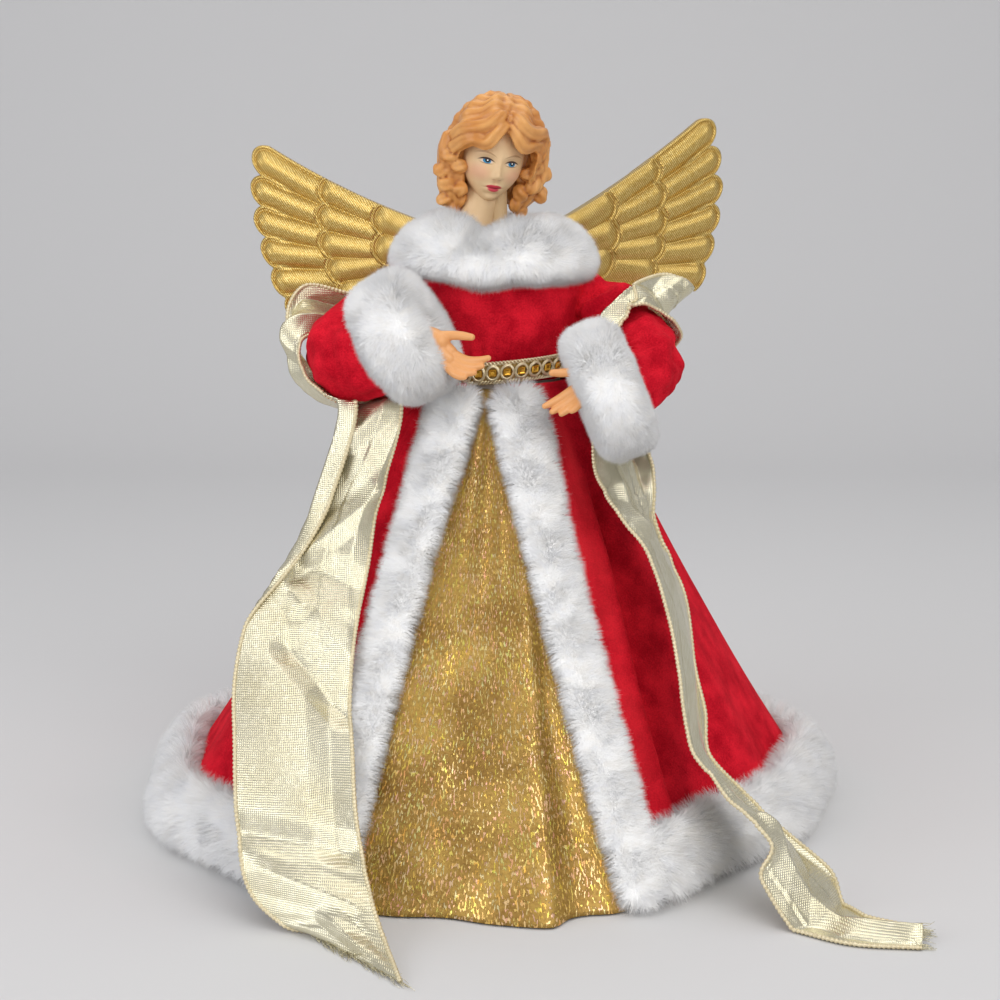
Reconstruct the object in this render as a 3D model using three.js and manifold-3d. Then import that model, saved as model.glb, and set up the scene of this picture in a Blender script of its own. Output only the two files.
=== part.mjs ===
// Angel tree topper, standing on its cone. Millimetres, +Z up, the angel faces -Y.
// The origin is on the table, on the axis of the cone. Left and right are the viewer's.
import * as THREE from 'three';
import { mergeVertices } from 'three/addons/utils/BufferGeometryUtils.js';
import Module from 'manifold-3d';

const wasm = await Module();
wasm.setup();

// Body and skirt
const WAIST_HEIGHT = 185;
const CONE_TOP_RADIUS = 25.6;
const CONE_BASE_RADIUS = 114;
const CARD = 1.5;
const CLOTH = 1.2;
const GAP = 0.3;
const FUR_SEAT = 0.7;
const SIDE_FLARE = 104;
const FRONT_PUSH = 24;
const LEFT_SPREAD = 8;
const COAT_EASE = 2.2;
const FRONT_SPREAD = 0.8;
const RIGHT_FRONT_SPREAD = 0.58;
const RIGHT_TUCK = 8;
const RIGHT_TUCK_ANGLE = 0.85;
const RIGHT_TUCK_SPREAD = 0.35;
const FOLD_COUNT = 9;
const FOLD_DEPTH = 3;
const FOLD_PHASE = 3.8;
const FRONT_FOLD = 6;
const FRONT_FOLD_ANGLE = 0.12;
const FRONT_FOLD_SPREAD = 0.07;
const RIGHT_EDGE_TOP = 8;
const RIGHT_EDGE_SPREAD = 12.5;
const LEFT_EDGE_TOP = -29;
const LEFT_EDGE_SPREAD = 5;
const TORSO_HEIGHT = 60;
const CHEST_WIDTH = 71;
const CHEST_DEPTH = 57;
const WAIST_WIDTH = 56;
const BODICE_THICKNESS = 2;
const PLUG_DEPTH = 6;
const BELT_HEIGHT = 8;
const BELT_THICKNESS = 1.8;
const SEQUIN_COUNT = 20;
const SEQUIN = 4;
const SEQUIN_THICKNESS = 1.6;

// Fur rolls, without their pile
const HEM_WIDTH = 33;
const HEM_THICKNESS = 15;
const TRIM_WIDTH = 22;
const TRIM_THICKNESS = 10;
const TRIM_CLEARANCE = 3;
const COLLAR_RADIUS = 29;
const COLLAR_LENGTH = 34;
const COLLAR_THICKNESS = 21;
const COLLAR_SLOPE = -40;
const COLLAR_DEPTH = 0.9;
const CUFF_BORE = 9.6;
const CUFF_RADIUS = 23.5;
const CUFF_LENGTH = 25;

// Head
const NECK_RADIUS = 8;
const PEG_RADIUS = 4;
const HEAD_WIDTH = 27;
const HEAD_DEPTH = 31;
const HEAD_HEIGHT = 40;
const HEAD_TURN = 13;
const HEAD_BOW = 10;
const HEAD_TILT = 9;

// Arms
const SHOULDER_RADIUS = 12.5;
const ELBOW_RADIUS = 15.5;
const ARMHOLE = 0.8;
const SHOULDER_OUT = 4.5;
const SHOULDER_BACK = 4;
const SHOULDER_DROP = 33;
const WIRE_RADIUS = 1;
const STUB_RADIUS = 4;

// Wings and sash
const WING_LENGTH = 105;
const WING_THICKNESS = 5;
const PLATE_WIDTH = 22;
const PLATE_THICKNESS = 2;
const HINGE_RADIUS = 1.5;
const LEFT_WING_ROLL = -8;
const LEFT_WING_SWEEP = 10;
const RIGHT_WING_ROLL = 1;
const RIGHT_WING_SWEEP = 24;
const SASH_THICKNESS = 0.9;
const SASH_CREASE = 1.2;

const V = (x, y, z) => new THREE.Vector3(x, y, z);
const radians = THREE.MathUtils.degToRad;
const mix = THREE.MathUtils.lerp;
const ease = THREE.MathUtils.smoothstep;

const angel = new THREE.Group();
angel.name = 'angel_tree_topper';

function add(name, geometry, colour, roughness, metalness = 0) {
  const material = new THREE.MeshStandardMaterial({ color: colour, roughness, metalness });
  const mesh = new THREE.Mesh(geometry, material);
  mesh.name = name;
  angel.add(mesh);
}

// Closed geometry from points and triangles, with its faces turned outward.
function closed(points, triangles) {
  let volume = 0;
  for (const [a, b, c] of triangles) {
    volume += points[a].dot(V(0, 0, 0).crossVectors(points[b], points[c]));
  }
  const order = volume < 0 ? triangles.map(([a, b, c]) => [a, c, b]) : triangles;
  const geometry = new THREE.BufferGeometry();
  const places = points.flatMap((p) => [p.x, p.y, p.z]);
  geometry.setAttribute('position', new THREE.Float32BufferAttribute(places, 3));
  geometry.setIndex(order.flat());
  return geometry;
}

// A tube through rings of points, closed by a fan at each end.
function loft(rings) {
  const count = rings[0].length;
  const points = rings.flat();
  const triangles = [];
  for (let row = 0; row + 1 < rings.length; row += 1) {
    for (let i = 0; i < count; i += 1) {
      const a = row * count + i;
      const b = row * count + ((i + 1) % count);
      triangles.push([a, b, b + count], [a, b + count, a + count]);
    }
  }
  const middle = (ring) => ring.reduce((sum, p) => sum.add(p), V(0, 0, 0)).divideScalar(count);
  const first = points.length;
  const last = first + 1;
  points.push(middle(rings[0]), middle(rings[rings.length - 1]));
  for (let i = 0; i < count; i += 1) {
    const j = (i + 1) % count;
    const top = (rings.length - 1) * count;
    triangles.push([first, j, i], [last, top + i, top + j]);
  }
  return closed(points, triangles);
}

// A tube of rings whose ends meet.
function hoop(rings) {
  const count = rings[0].length;
  const triangles = [];
  for (let row = 0; row < rings.length; row += 1) {
    const next = (row + 1) % rings.length;
    for (let i = 0; i < count; i += 1) {
      const j = (i + 1) % count;
      triangles.push([row * count + i, row * count + j, next * count + j]);
      triangles.push([row * count + i, next * count + j, next * count + i]);
    }
  }
  return closed(rings.flat(), triangles);
}

// A sheet of cloth from its two faces, given as rows of points. A ring joins its own sides.
function cloth(outer, inner, ring) {
  const rows = outer.length;
  const columns = outer[0].length;
  const half = rows * columns;
  const points = [...outer.flat(), ...inner.flat()];
  const triangles = [];
  const quad = (a, b, c, d) => triangles.push([a, b, c], [a, c, d]);
  const spans = ring ? columns : columns - 1;
  for (let row = 0; row + 1 < rows; row += 1) {
    for (let i = 0; i < spans; i += 1) {
      const a = row * columns + i;
      const b = row * columns + ((i + 1) % columns);
      quad(a, b, b + columns, a + columns);
      quad(half + a, half + a + columns, half + b + columns, half + b);
    }
  }
  for (let i = 0; i < spans; i += 1) {
    const j = (i + 1) % columns;
    const bottom = (rows - 1) * columns;
    quad(i, half + i, half + j, j);
    quad(bottom + i, bottom + j, half + bottom + j, half + bottom + i);
  }
  for (let row = 0; !ring && row + 1 < rows; row += 1) {
    const a = row * columns;
    const b = a + columns - 1;
    quad(a, a + columns, half + a + columns, half + a);
    quad(b, half + b, half + b + columns, b + columns);
  }
  return closed(points, triangles);
}

function solid(geometry) {
  const plain = new THREE.BufferGeometry();
  plain.setAttribute('position', geometry.getAttribute('position').clone());
  if (geometry.index) {
    plain.setIndex(geometry.index.clone());
  }
  const joined = mergeVertices(plain, 1e-4);
  const index = joined.index.array;
  const kept = [];
  for (let i = 0; i < index.length; i += 3) {
    const [a, b, c] = [index[i], index[i + 1], index[i + 2]];
    if (a !== b && b !== c && c !== a) {
      kept.push(a, b, c);
    }
  }
  const vertProperties = new Float32Array(joined.getAttribute('position').array);
  const triVerts = new Uint32Array(kept);
  return new wasm.Manifold(new wasm.Mesh({ numProp: 3, vertProperties, triVerts }));
}

function surface(body) {
  const mesh = body.getMesh();
  const geometry = new THREE.BufferGeometry();
  const places = [];
  for (let i = 0; i < mesh.vertProperties.length; i += mesh.numProp) {
    places.push(...mesh.vertProperties.slice(i, i + 3));
  }
  geometry.setAttribute('position', new THREE.Float32BufferAttribute(places, 3));
  geometry.setIndex([...mesh.triVerts]);
  return geometry;
}

const union = (bodies) => bodies.reduce((all, next) => all.add(next));

// Turns a geometry made along +Y so that it runs from one point toward another.
function aim(geometry, from, toward) {
  const way = toward.clone().sub(from).normalize();
  const turn = new THREE.Quaternion().setFromUnitVectors(V(0, 1, 0), way);
  geometry.applyQuaternion(turn);
  geometry.translate(from.x, from.y, from.z);
  return geometry;
}

// A stuffed limb: round ends joined by a taper.
function limb(from, fromRadius, to, toRadius, sides = 12, arcs = 3) {
  const length = from.distanceTo(to);
  const profile = [];
  for (let i = 0; i <= arcs; i += 1) {
    const angle = (Math.PI / 2 / arcs) * i;
    profile.push(new THREE.Vector2(fromRadius * Math.sin(angle), -fromRadius * Math.cos(angle)));
  }
  for (let i = 0; i <= arcs; i += 1) {
    const angle = (Math.PI / 2 / arcs) * i;
    profile.push(new THREE.Vector2(toRadius * Math.cos(angle), length + toRadius * Math.sin(angle)));
  }
  profile[0].x = 0;
  profile[profile.length - 1].x = 0;
  return aim(new THREE.LatheGeometry(profile, sides), from, to);
}

function rod(from, to, radius, sides = 12) {
  const length = from.distanceTo(to);
  const geometry = new THREE.CylinderGeometry(radius, radius, length, sides);
  geometry.translate(0, length / 2, 0);
  return aim(geometry, from, to);
}

function ball(centre, half, sides = 14, rows = 10) {
  const geometry = new THREE.SphereGeometry(1, sides, rows);
  geometry.rotateX(Math.PI / 2);
  geometry.scale(half.x, half.y, half.z);
  geometry.translate(centre.x, centre.y, centre.z);
  return geometry;
}

function wire(points, radius) {
  const shape = new THREE.Shape();
  shape.absarc(0, 0, radius, 0, Math.PI * 2);
  const path = new THREE.CatmullRomCurve3(points, false, 'centripetal');
  const steps = points.length * 2;
  const options = { steps, extrudePath: path, bevelEnabled: false, curveSegments: 4 };
  return new THREE.ExtrudeGeometry(shape, options);
}

// Places around the axis: angle 0 is straight ahead, growing toward the viewer's right.
const around = (angle, radius, z) => V(radius * Math.sin(angle), -radius * Math.cos(angle), z);
const wrapped = (angle) => Math.atan2(Math.sin(angle), Math.cos(angle));
const CONE_HEIGHT = WAIST_HEIGHT - 3;
const fallen = (z) => Math.max(0, (CONE_HEIGHT - z) / CONE_HEIGHT);

// Inside of the gold skirt.
const SKIRT_TOP_RADIUS = CONE_TOP_RADIUS + GAP + 0.2;
function skirtRadius(angle, z) {
  const turn = wrapped(angle);
  const fall = fallen(z);
  const push = FRONT_PUSH * Math.exp(-((turn / (turn > 0 ? RIGHT_FRONT_SPREAD : FRONT_SPREAD)) ** 2));
  const tuck = RIGHT_TUCK * Math.exp(-(((turn - RIGHT_TUCK_ANGLE) / RIGHT_TUCK_SPREAD) ** 2));
  const spread = LEFT_SPREAD * Math.max(0, -Math.sin(turn)) ** 2;
  const folds = FOLD_DEPTH * Math.cos(FOLD_COUNT * turn + FOLD_PHASE);
  return SKIRT_TOP_RADIUS + (SIDE_FLARE + push + spread + folds - tuck) * fall;
}
const goldOutside = (angle, z) => skirtRadius(angle, z) + CLOTH;
const redInside = (angle, z) => goldOutside(angle, z) + GAP + COAT_EASE * fallen(z);
const redOutside = (angle, z) => redInside(angle, z) + CLOTH;

// The coat opens between two front edges, and a fur trim covers each edge.
const rightEdge = (z) => radians(RIGHT_EDGE_TOP + RIGHT_EDGE_SPREAD * Math.sqrt(fallen(z)));
const leftEdge = (z) => radians(LEFT_EDGE_TOP + LEFT_EDGE_SPREAD * fallen(z));

const cone = new THREE.LatheGeometry(
  [
    new THREE.Vector2(CONE_BASE_RADIUS, 0),
    new THREE.Vector2(CONE_TOP_RADIUS, CONE_HEIGHT),
    new THREE.Vector2(CONE_TOP_RADIUS - CARD, CONE_HEIGHT),
    new THREE.Vector2(CONE_BASE_RADIUS - CARD, 0),
    new THREE.Vector2(CONE_BASE_RADIUS, 0),
  ],
  48,
);
cone.rotateX(Math.PI / 2);
add('support_cone', surface(solid(cone)), '#c9b48a', 0.85);

function skirtRows(top, bottom, rows, columns, spanStart, spanEnd, radius) {
  const grid = [];
  for (let row = 0; row <= rows; row += 1) {
    const z = mix(top, bottom, row / rows);
    const line = [];
    for (let i = 0; i < columns; i += 1) {
      const angle = mix(spanStart(z), spanEnd(z), i / columns);
      line.push(around(angle, radius(angle, z), z));
    }
    grid.push(line);
  }
  return grid;
}

// One deep soft fold stands out of the gold skirt's front.
function frontFold(angle, z) {
  const off = (wrapped(angle) - FRONT_FOLD_ANGLE) / FRONT_FOLD_SPREAD;
  return FRONT_FOLD * ease(fallen(z), 0.45, 1) * Math.exp(-(off ** 2));
}
const GOLD_TOP = CONE_HEIGHT;
const GOLD_BOTTOM = GAP;
const whole = [() => -Math.PI, () => Math.PI];
const goldInside = (angle, z) => skirtRadius(angle, z) + frontFold(angle, z);
const goldFaces = [CLOTH, 0].map((thick) =>
  skirtRows(GOLD_TOP, GOLD_BOTTOM, 6, 50, ...whole, (angle, z) => goldInside(angle, z) + thick),
);
add('gold_underskirt', cloth(...goldFaces, true), '#b88a3a', 0.4, 0.7);

const RED_TOP = WAIST_HEIGHT - 0.5;
const RED_BOTTOM = 5;
const RED_COLUMNS = 43;
const coatEnd = (z) => mix(rightEdge(z), leftEdge(z) + 2 * Math.PI, RED_COLUMNS / (RED_COLUMNS - 1));
const redFaces = [redOutside, redInside].map((radius) =>
  skirtRows(RED_TOP, RED_BOTTOM, 6, RED_COLUMNS, rightEdge, coatEnd, radius),
);
add('red_overskirt', cloth(...redFaces, false), '#a80d22', 0.9);

// Rings of a flattened roll: one half size along the width, one along the outward way.
function rollRing(centre, width, outward, halfWidth, halfThickness, sides = 10) {
  const ring = [];
  for (let i = 0; i < sides; i += 1) {
    const angle = (Math.PI * 2 * i) / sides;
    const point = centre.clone();
    point.addScaledVector(width, halfWidth * Math.cos(angle));
    point.addScaledVector(outward, halfThickness * Math.sin(angle));
    ring.push(point);
  }
  return ring;
}

// Hem roll on the coat's lower edge, from one front trim around the back to the other.
const hemSlope = Math.atan2(SIDE_FLARE, CONE_HEIGHT);
const hemHalf = V(0, HEM_THICKNESS / 2, HEM_WIDTH / 2);
const HEM_MIDDLE = GAP + Math.hypot(hemHalf.z * Math.cos(hemSlope), hemHalf.y * Math.sin(hemSlope));
const hemOff = (FUR_SEAT + hemHalf.y) / Math.cos(hemSlope);
const trimShare = (edge) => (TRIM_WIDTH / 2 + TRIM_CLEARANCE) / redOutside(edge, 0);
const hemStart = rightEdge(0) + trimShare(rightEdge(0));
const hemEnd = leftEdge(0) + 2 * Math.PI - trimShare(leftEdge(0));
const hemRings = [];
const HEM_STEPS = 46;
for (let i = 0; i <= HEM_STEPS; i += 1) {
  const angle = mix(hemStart, hemEnd, i / HEM_STEPS);
  const end = Math.min(i, HEM_STEPS - i) === 0 ? 0.7 : 1;
  const centre = around(angle, redOutside(angle, HEM_MIDDLE) + hemOff, HEM_MIDDLE);
  const down = around(angle, Math.sin(hemSlope), -Math.cos(hemSlope));
  const outward = around(angle, Math.cos(hemSlope), Math.sin(hemSlope));
  hemRings.push(rollRing(centre, down, outward, end * hemHalf.z, end * hemHalf.y));
}
add('hem_trim', loft(hemRings), '#eeeef0', 1);

// Front trims lie on the coat's edges, from under the belt to the table.
const trimSlope = Math.atan2(SIDE_FLARE + FRONT_PUSH, CONE_HEIGHT);
const trimOff = (FUR_SEAT + TRIM_THICKNESS / 2) / Math.cos(trimSlope);
function frontTrim(edge) {
  const rings = [];
  const steps = 13;
  for (let i = 0; i <= steps; i += 1) {
    const z = mix(WAIST_HEIGHT - 4, TRIM_THICKNESS / 2 + 1, i / steps);
    const place = (at) => around(edge(at), redOutside(edge(at), at) + trimOff, at);
    const along = place(z - 1).sub(place(z + 1)).normalize();
    const width = V(0, 0, 0).crossVectors(along, around(edge(z), 1, 0)).normalize();
    const outward = V(0, 0, 0).crossVectors(width, along).normalize();
    const end = Math.min(i, steps - i) === 0 ? 0.6 : 1;
    rings.push(rollRing(place(z), width, outward, (end * TRIM_WIDTH) / 2, (end * TRIM_THICKNESS) / 2));
  }
  return loft(rings);
}
add('left_front_trim', frontTrim(leftEdge), '#eeeef0', 1);
add('right_front_trim', frontTrim(rightEdge), '#eeeef0', 1);

// Bodice: height above the waist, half width, half depth and middle, as shares of the torso.
const TORSO = [
  [-0.02, WAIST_WIDTH / 2, WAIST_WIDTH / 2 - 1.5, 0],
  [0.18, WAIST_WIDTH / 2 + 1.5, WAIST_WIDTH / 2 - 0.5, 0],
  [0.4, CHEST_WIDTH / 2 - 2, CHEST_DEPTH / 2 - 0.5, -1],
  [0.58, CHEST_WIDTH / 2, CHEST_DEPTH / 2, -1],
  [0.75, CHEST_WIDTH / 2 - 3, CHEST_DEPTH / 2 - 3.5, -1],
  [0.9, CHEST_WIDTH / 2 - 13, CHEST_DEPTH / 2 - 10, -2],
  [1, CHEST_WIDTH / 2 - 21, CHEST_DEPTH / 2 - 15, -3],
];
function torsoSize(z) {
  const share = (z - WAIST_HEIGHT) / TORSO_HEIGHT;
  const upper = TORSO.findIndex((row) => row[0] >= share);
  const last = upper < 0 ? TORSO.length - 1 : Math.max(upper, 1);
  const [low, high] = [TORSO[last - 1], TORSO[last]];
  const step = THREE.MathUtils.clamp((share - low[0]) / (high[0] - low[0]), 0, 1);
  return [1, 2, 3].map((i) => mix(low[i], high[i], step));
}
function torsoRing(z, grow, sides = 24) {
  const [halfWidth, halfDepth, middle] = torsoSize(z);
  const ring = [];
  for (let i = 0; i < sides; i += 1) {
    const angle = (Math.PI * 2 * i) / sides;
    ring.push(V((halfWidth + grow) * Math.sin(angle), middle - (halfDepth + grow) * Math.cos(angle), z));
  }
  return ring;
}
const torsoHeights = (from, to) => {
  const rows = TORSO.map((row) => WAIST_HEIGHT + row[0] * TORSO_HEIGHT);
  return [from, ...rows.filter((z) => z > from + 1 && z < to - 1), to];
};
const torsoBody = (from, to, grow) => solid(loft(torsoHeights(from, to).map((z) => torsoRing(z, grow))));

const BODICE_TOP = WAIST_HEIGHT + TORSO_HEIGHT * 0.97;
const bodiceInside = torsoBody(WAIST_HEIGHT - 5, BODICE_TOP + 5, -BODICE_THICKNESS);
const shoulderOut = CHEST_WIDTH / 2 + SHOULDER_OUT;
const shoulders = [-1, 1].map((side) => V(side * shoulderOut, SHOULDER_BACK, WAIST_HEIGHT + TORSO_HEIGHT - SHOULDER_DROP));
const elbowReach = [V(-24, -36, -13), V(19, -37, -16)];
const elbows = elbowReach.map((reach, i) => shoulders[i].clone().add(reach));
const armholes = shoulders.map((place, i) =>
  solid(limb(place, SHOULDER_RADIUS + ARMHOLE, elbows[i], ELBOW_RADIUS + ARMHOLE)),
);
const withArmholes = (body) => armholes.reduce((rest, cut) => rest.subtract(cut), body);
const bodice = torsoBody(WAIST_HEIGHT, BODICE_TOP, 0).subtract(bodiceInside);
add('bodice', surface(withArmholes(bodice)), '#a80d22', 0.9);

// Neck peg and the stuffed form under the bodice, plugged into the cone.
const NECK = V(-1, -5, 0);
const neckAt = (z) => V(NECK.x, NECK.y, z);
const HEAD_CENTRE = V(NECK.x + 0.5, NECK.y - 3, WAIST_HEIGHT + TORSO_HEIGHT + 33);
const PEG_BOTTOM = WAIST_HEIGHT + 15;
const PEG_TOP = HEAD_CENTRE.z - 14;
add('neck_peg', rod(neckAt(PEG_BOTTOM), neckAt(PEG_TOP), PEG_RADIUS, 16), '#d8b583', 0.7);

const FORM_TOP = BODICE_TOP - 2;
const plugRadius = CONE_TOP_RADIUS - CARD - 2 * GAP;
let form = torsoBody(CONE_HEIGHT + GAP, FORM_TOP, -BODICE_THICKNESS - GAP);
form = form.add(solid(rod(V(0, 0, CONE_HEIGHT - PLUG_DEPTH), V(0, 0, CONE_HEIGHT + 1), plugRadius, 32)));
form = form.subtract(solid(rod(neckAt(PEG_BOTTOM - GAP), neckAt(FORM_TOP + 9), PEG_RADIUS + GAP, 16)));
const wireShare = (SHOULDER_RADIUS + ARMHOLE + WIRE_RADIUS) / (2 * shoulderOut);
const wireEnds = [wireShare, 1 - wireShare].map((share) => shoulders[0].clone().lerp(shoulders[1], share));
form = form.subtract(solid(rod(shoulders[0], shoulders[1], WIRE_RADIUS + GAP)));
add('torso_form', surface(withArmholes(form)), '#e4dccb', 0.95);
add('shoulder_wire', rod(wireEnds[0], wireEnds[1], WIRE_RADIUS), '#8d9196', 0.4, 0.9);

// Braid belt with square sequins.
const beltBottom = WAIST_HEIGHT + GAP;
const beltTop = beltBottom + BELT_HEIGHT;
const beltRing = (grow) => [beltBottom, beltTop].map((z) => torsoRing(z, grow, 40));
const beltOuter = beltRing(GAP + BELT_THICKNESS);
const beltInner = beltRing(GAP);
let belt = solid(cloth(beltOuter, beltInner, true));
for (let i = 0; i < SEQUIN_COUNT; i += 1) {
  const angle = (Math.PI * 2 * i) / SEQUIN_COUNT;
  const [halfWidth, halfDepth, middle] = torsoSize((beltBottom + beltTop) / 2);
  const out = GAP + BELT_THICKNESS;
  const sequin = new THREE.BoxGeometry(SEQUIN, SEQUIN_THICKNESS, SEQUIN);
  const facing = Math.atan2((halfDepth + out) * Math.sin(angle), (halfWidth + out) * Math.cos(angle));
  sequin.rotateZ(facing);
  const centre = V((halfWidth + out) * Math.sin(angle), middle - (halfDepth + out) * Math.cos(angle), 0);
  sequin.translate(centre.x, centre.y, (beltBottom + beltTop) / 2);
  belt = belt.add(solid(sequin));
}
add('waist_belt', surface(belt), '#c59a45', 0.35, 0.8);

// Fur collar: a thick roll sloping down over the shoulders.
const COLLAR_CENTRE = V(NECK.x - 1.5, NECK.y - 1, BODICE_TOP - 4);
const collarFall = Math.sin(radians(COLLAR_SLOPE));
const collarRun = Math.cos(radians(COLLAR_SLOPE));
const collarRings = [];
const COLLAR_STEPS = 26;
for (let i = 0; i < COLLAR_STEPS; i += 1) {
  const angle = (Math.PI * 2 * i) / COLLAR_STEPS;
  const outward = V(Math.sin(angle), -COLLAR_DEPTH * Math.cos(angle), 0);
  const centre = COLLAR_CENTRE.clone().addScaledVector(outward, COLLAR_RADIUS);
  const down = outward.clone().multiplyScalar(collarRun).add(V(0, 0, collarFall));
  const up = outward.clone().multiplyScalar(-collarFall).add(V(0, 0, collarRun));
  collarRings.push(rollRing(centre, down, up, COLLAR_LENGTH / 2, COLLAR_THICKNESS / 2));
}
const bodiceGrown = torsoBody(WAIST_HEIGHT - 1, BODICE_TOP + 8, GAP);
const collar = solid(hoop(collarRings)).subtract(bodiceGrown);
add('fur_collar', surface(collar), '#eeeef0', 1);

// Doll head, made about its own centre and then turned, bowed and tilted.
const headTurn = new THREE.Matrix4().makeRotationFromEuler(
  new THREE.Euler(radians(HEAD_BOW), radians(HEAD_TILT), radians(HEAD_TURN), 'ZXY'),
);
headTurn.setPosition(HEAD_CENTRE);
function skull(grow) {
  const geometry = new THREE.SphereGeometry(1, 20, 16);
  geometry.rotateX(Math.PI / 2);
  const places = geometry.getAttribute('position');
  for (let i = 0; i < places.count; i += 1) {
    const p = V(0, 0, 0).fromBufferAttribute(places, i);
    const low = Math.max(0, -p.z);
    const jaw = 1 - 0.34 * low ** 1.6;
    const face = Math.max(0, -p.y);
    const nose = Math.exp(-((p.x / 0.16) ** 2) - ((p.z + 0.42) / 0.16) ** 2);
    const chin = Math.exp(-((p.x / 0.3) ** 2) - ((p.z + 0.9) / 0.16) ** 2);
    const x = p.x * jaw * (HEAD_WIDTH / 2 + grow);
    const y = p.y * (HEAD_DEPTH / 2 + grow) - face * (2.2 * nose + 2.5 * chin) + low * 1.2;
    places.setXYZ(i, x, y, p.z * (HEAD_HEIGHT / 2 + grow));
  }
  geometry.applyMatrix4(headTurn);
  return solid(geometry);
}
const NECK_BOTTOM = BODICE_TOP + GAP;
const neck = (grow) => solid(rod(neckAt(NECK_BOTTOM), neckAt(HEAD_CENTRE.z - 4), NECK_RADIUS + grow, 18));
const pegBore = solid(rod(neckAt(NECK_BOTTOM - 5), neckAt(PEG_TOP + GAP), PEG_RADIUS + GAP, 16));
add('head', surface(skull(0).add(neck(0)).subtract(pegBore)), '#e6c8a0', 0.5);

// Moulded hair: a cap with swept fringe and curls, hollowed to sit on the head.
const lobe = (x, y, z, a, b, c) => {
  const geometry = ball(V(x, y, z), V(a, b, c), 8, 6);
  geometry.applyMatrix4(headTurn);
  return solid(geometry);
};
const lock = (from, fromRadius, to, toRadius) => {
  const geometry = limb(from, fromRadius, to, toRadius, 7, 2);
  geometry.applyMatrix4(headTurn);
  return solid(geometry);
};
const hairOut = HEAD_WIDTH / 2 + 3;
const hairTop = HEAD_HEIGHT / 2;
const cap = lobe(0, 2.5, 5, hairOut, HEAD_DEPTH / 2 + 2, hairTop + 0.5);
const faceWindow = lobe(0, -HEAD_DEPTH / 2 - 3, -10, HEAD_WIDTH / 2 - 1.5, 16, 18);
const hairParts = [cap.subtract(faceWindow)];
for (const side of [-1, 1]) {
  const parting = V(2, -12, hairTop - 4);
  const temple = V(side * hairOut, -8, 2);
  hairParts.push(lock(parting, 3.5, temple, 5));
  hairParts.push(lock(temple, 5, V(side * (hairOut + 4.5), -4, -8), 6));
  hairParts.push(lock(V(side * (hairOut + 4), -2, -9), 6, V(side * (hairOut + 1), 1, -15), 5.5));
}
hairParts.push(lobe(0, 11, -10, 15, 8, 11));
const hair = union(hairParts).subtract(skull(GAP)).subtract(neck(GAP));
const hairFloor = COLLAR_CENTRE.z + COLLAR_LENGTH / 2 - 1;
const below = solid(rod(neckAt(hairFloor - 40), neckAt(hairFloor), 60, 8));
add('hair', surface(hair.subtract(below)), '#cf8638', 0.55);

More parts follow.
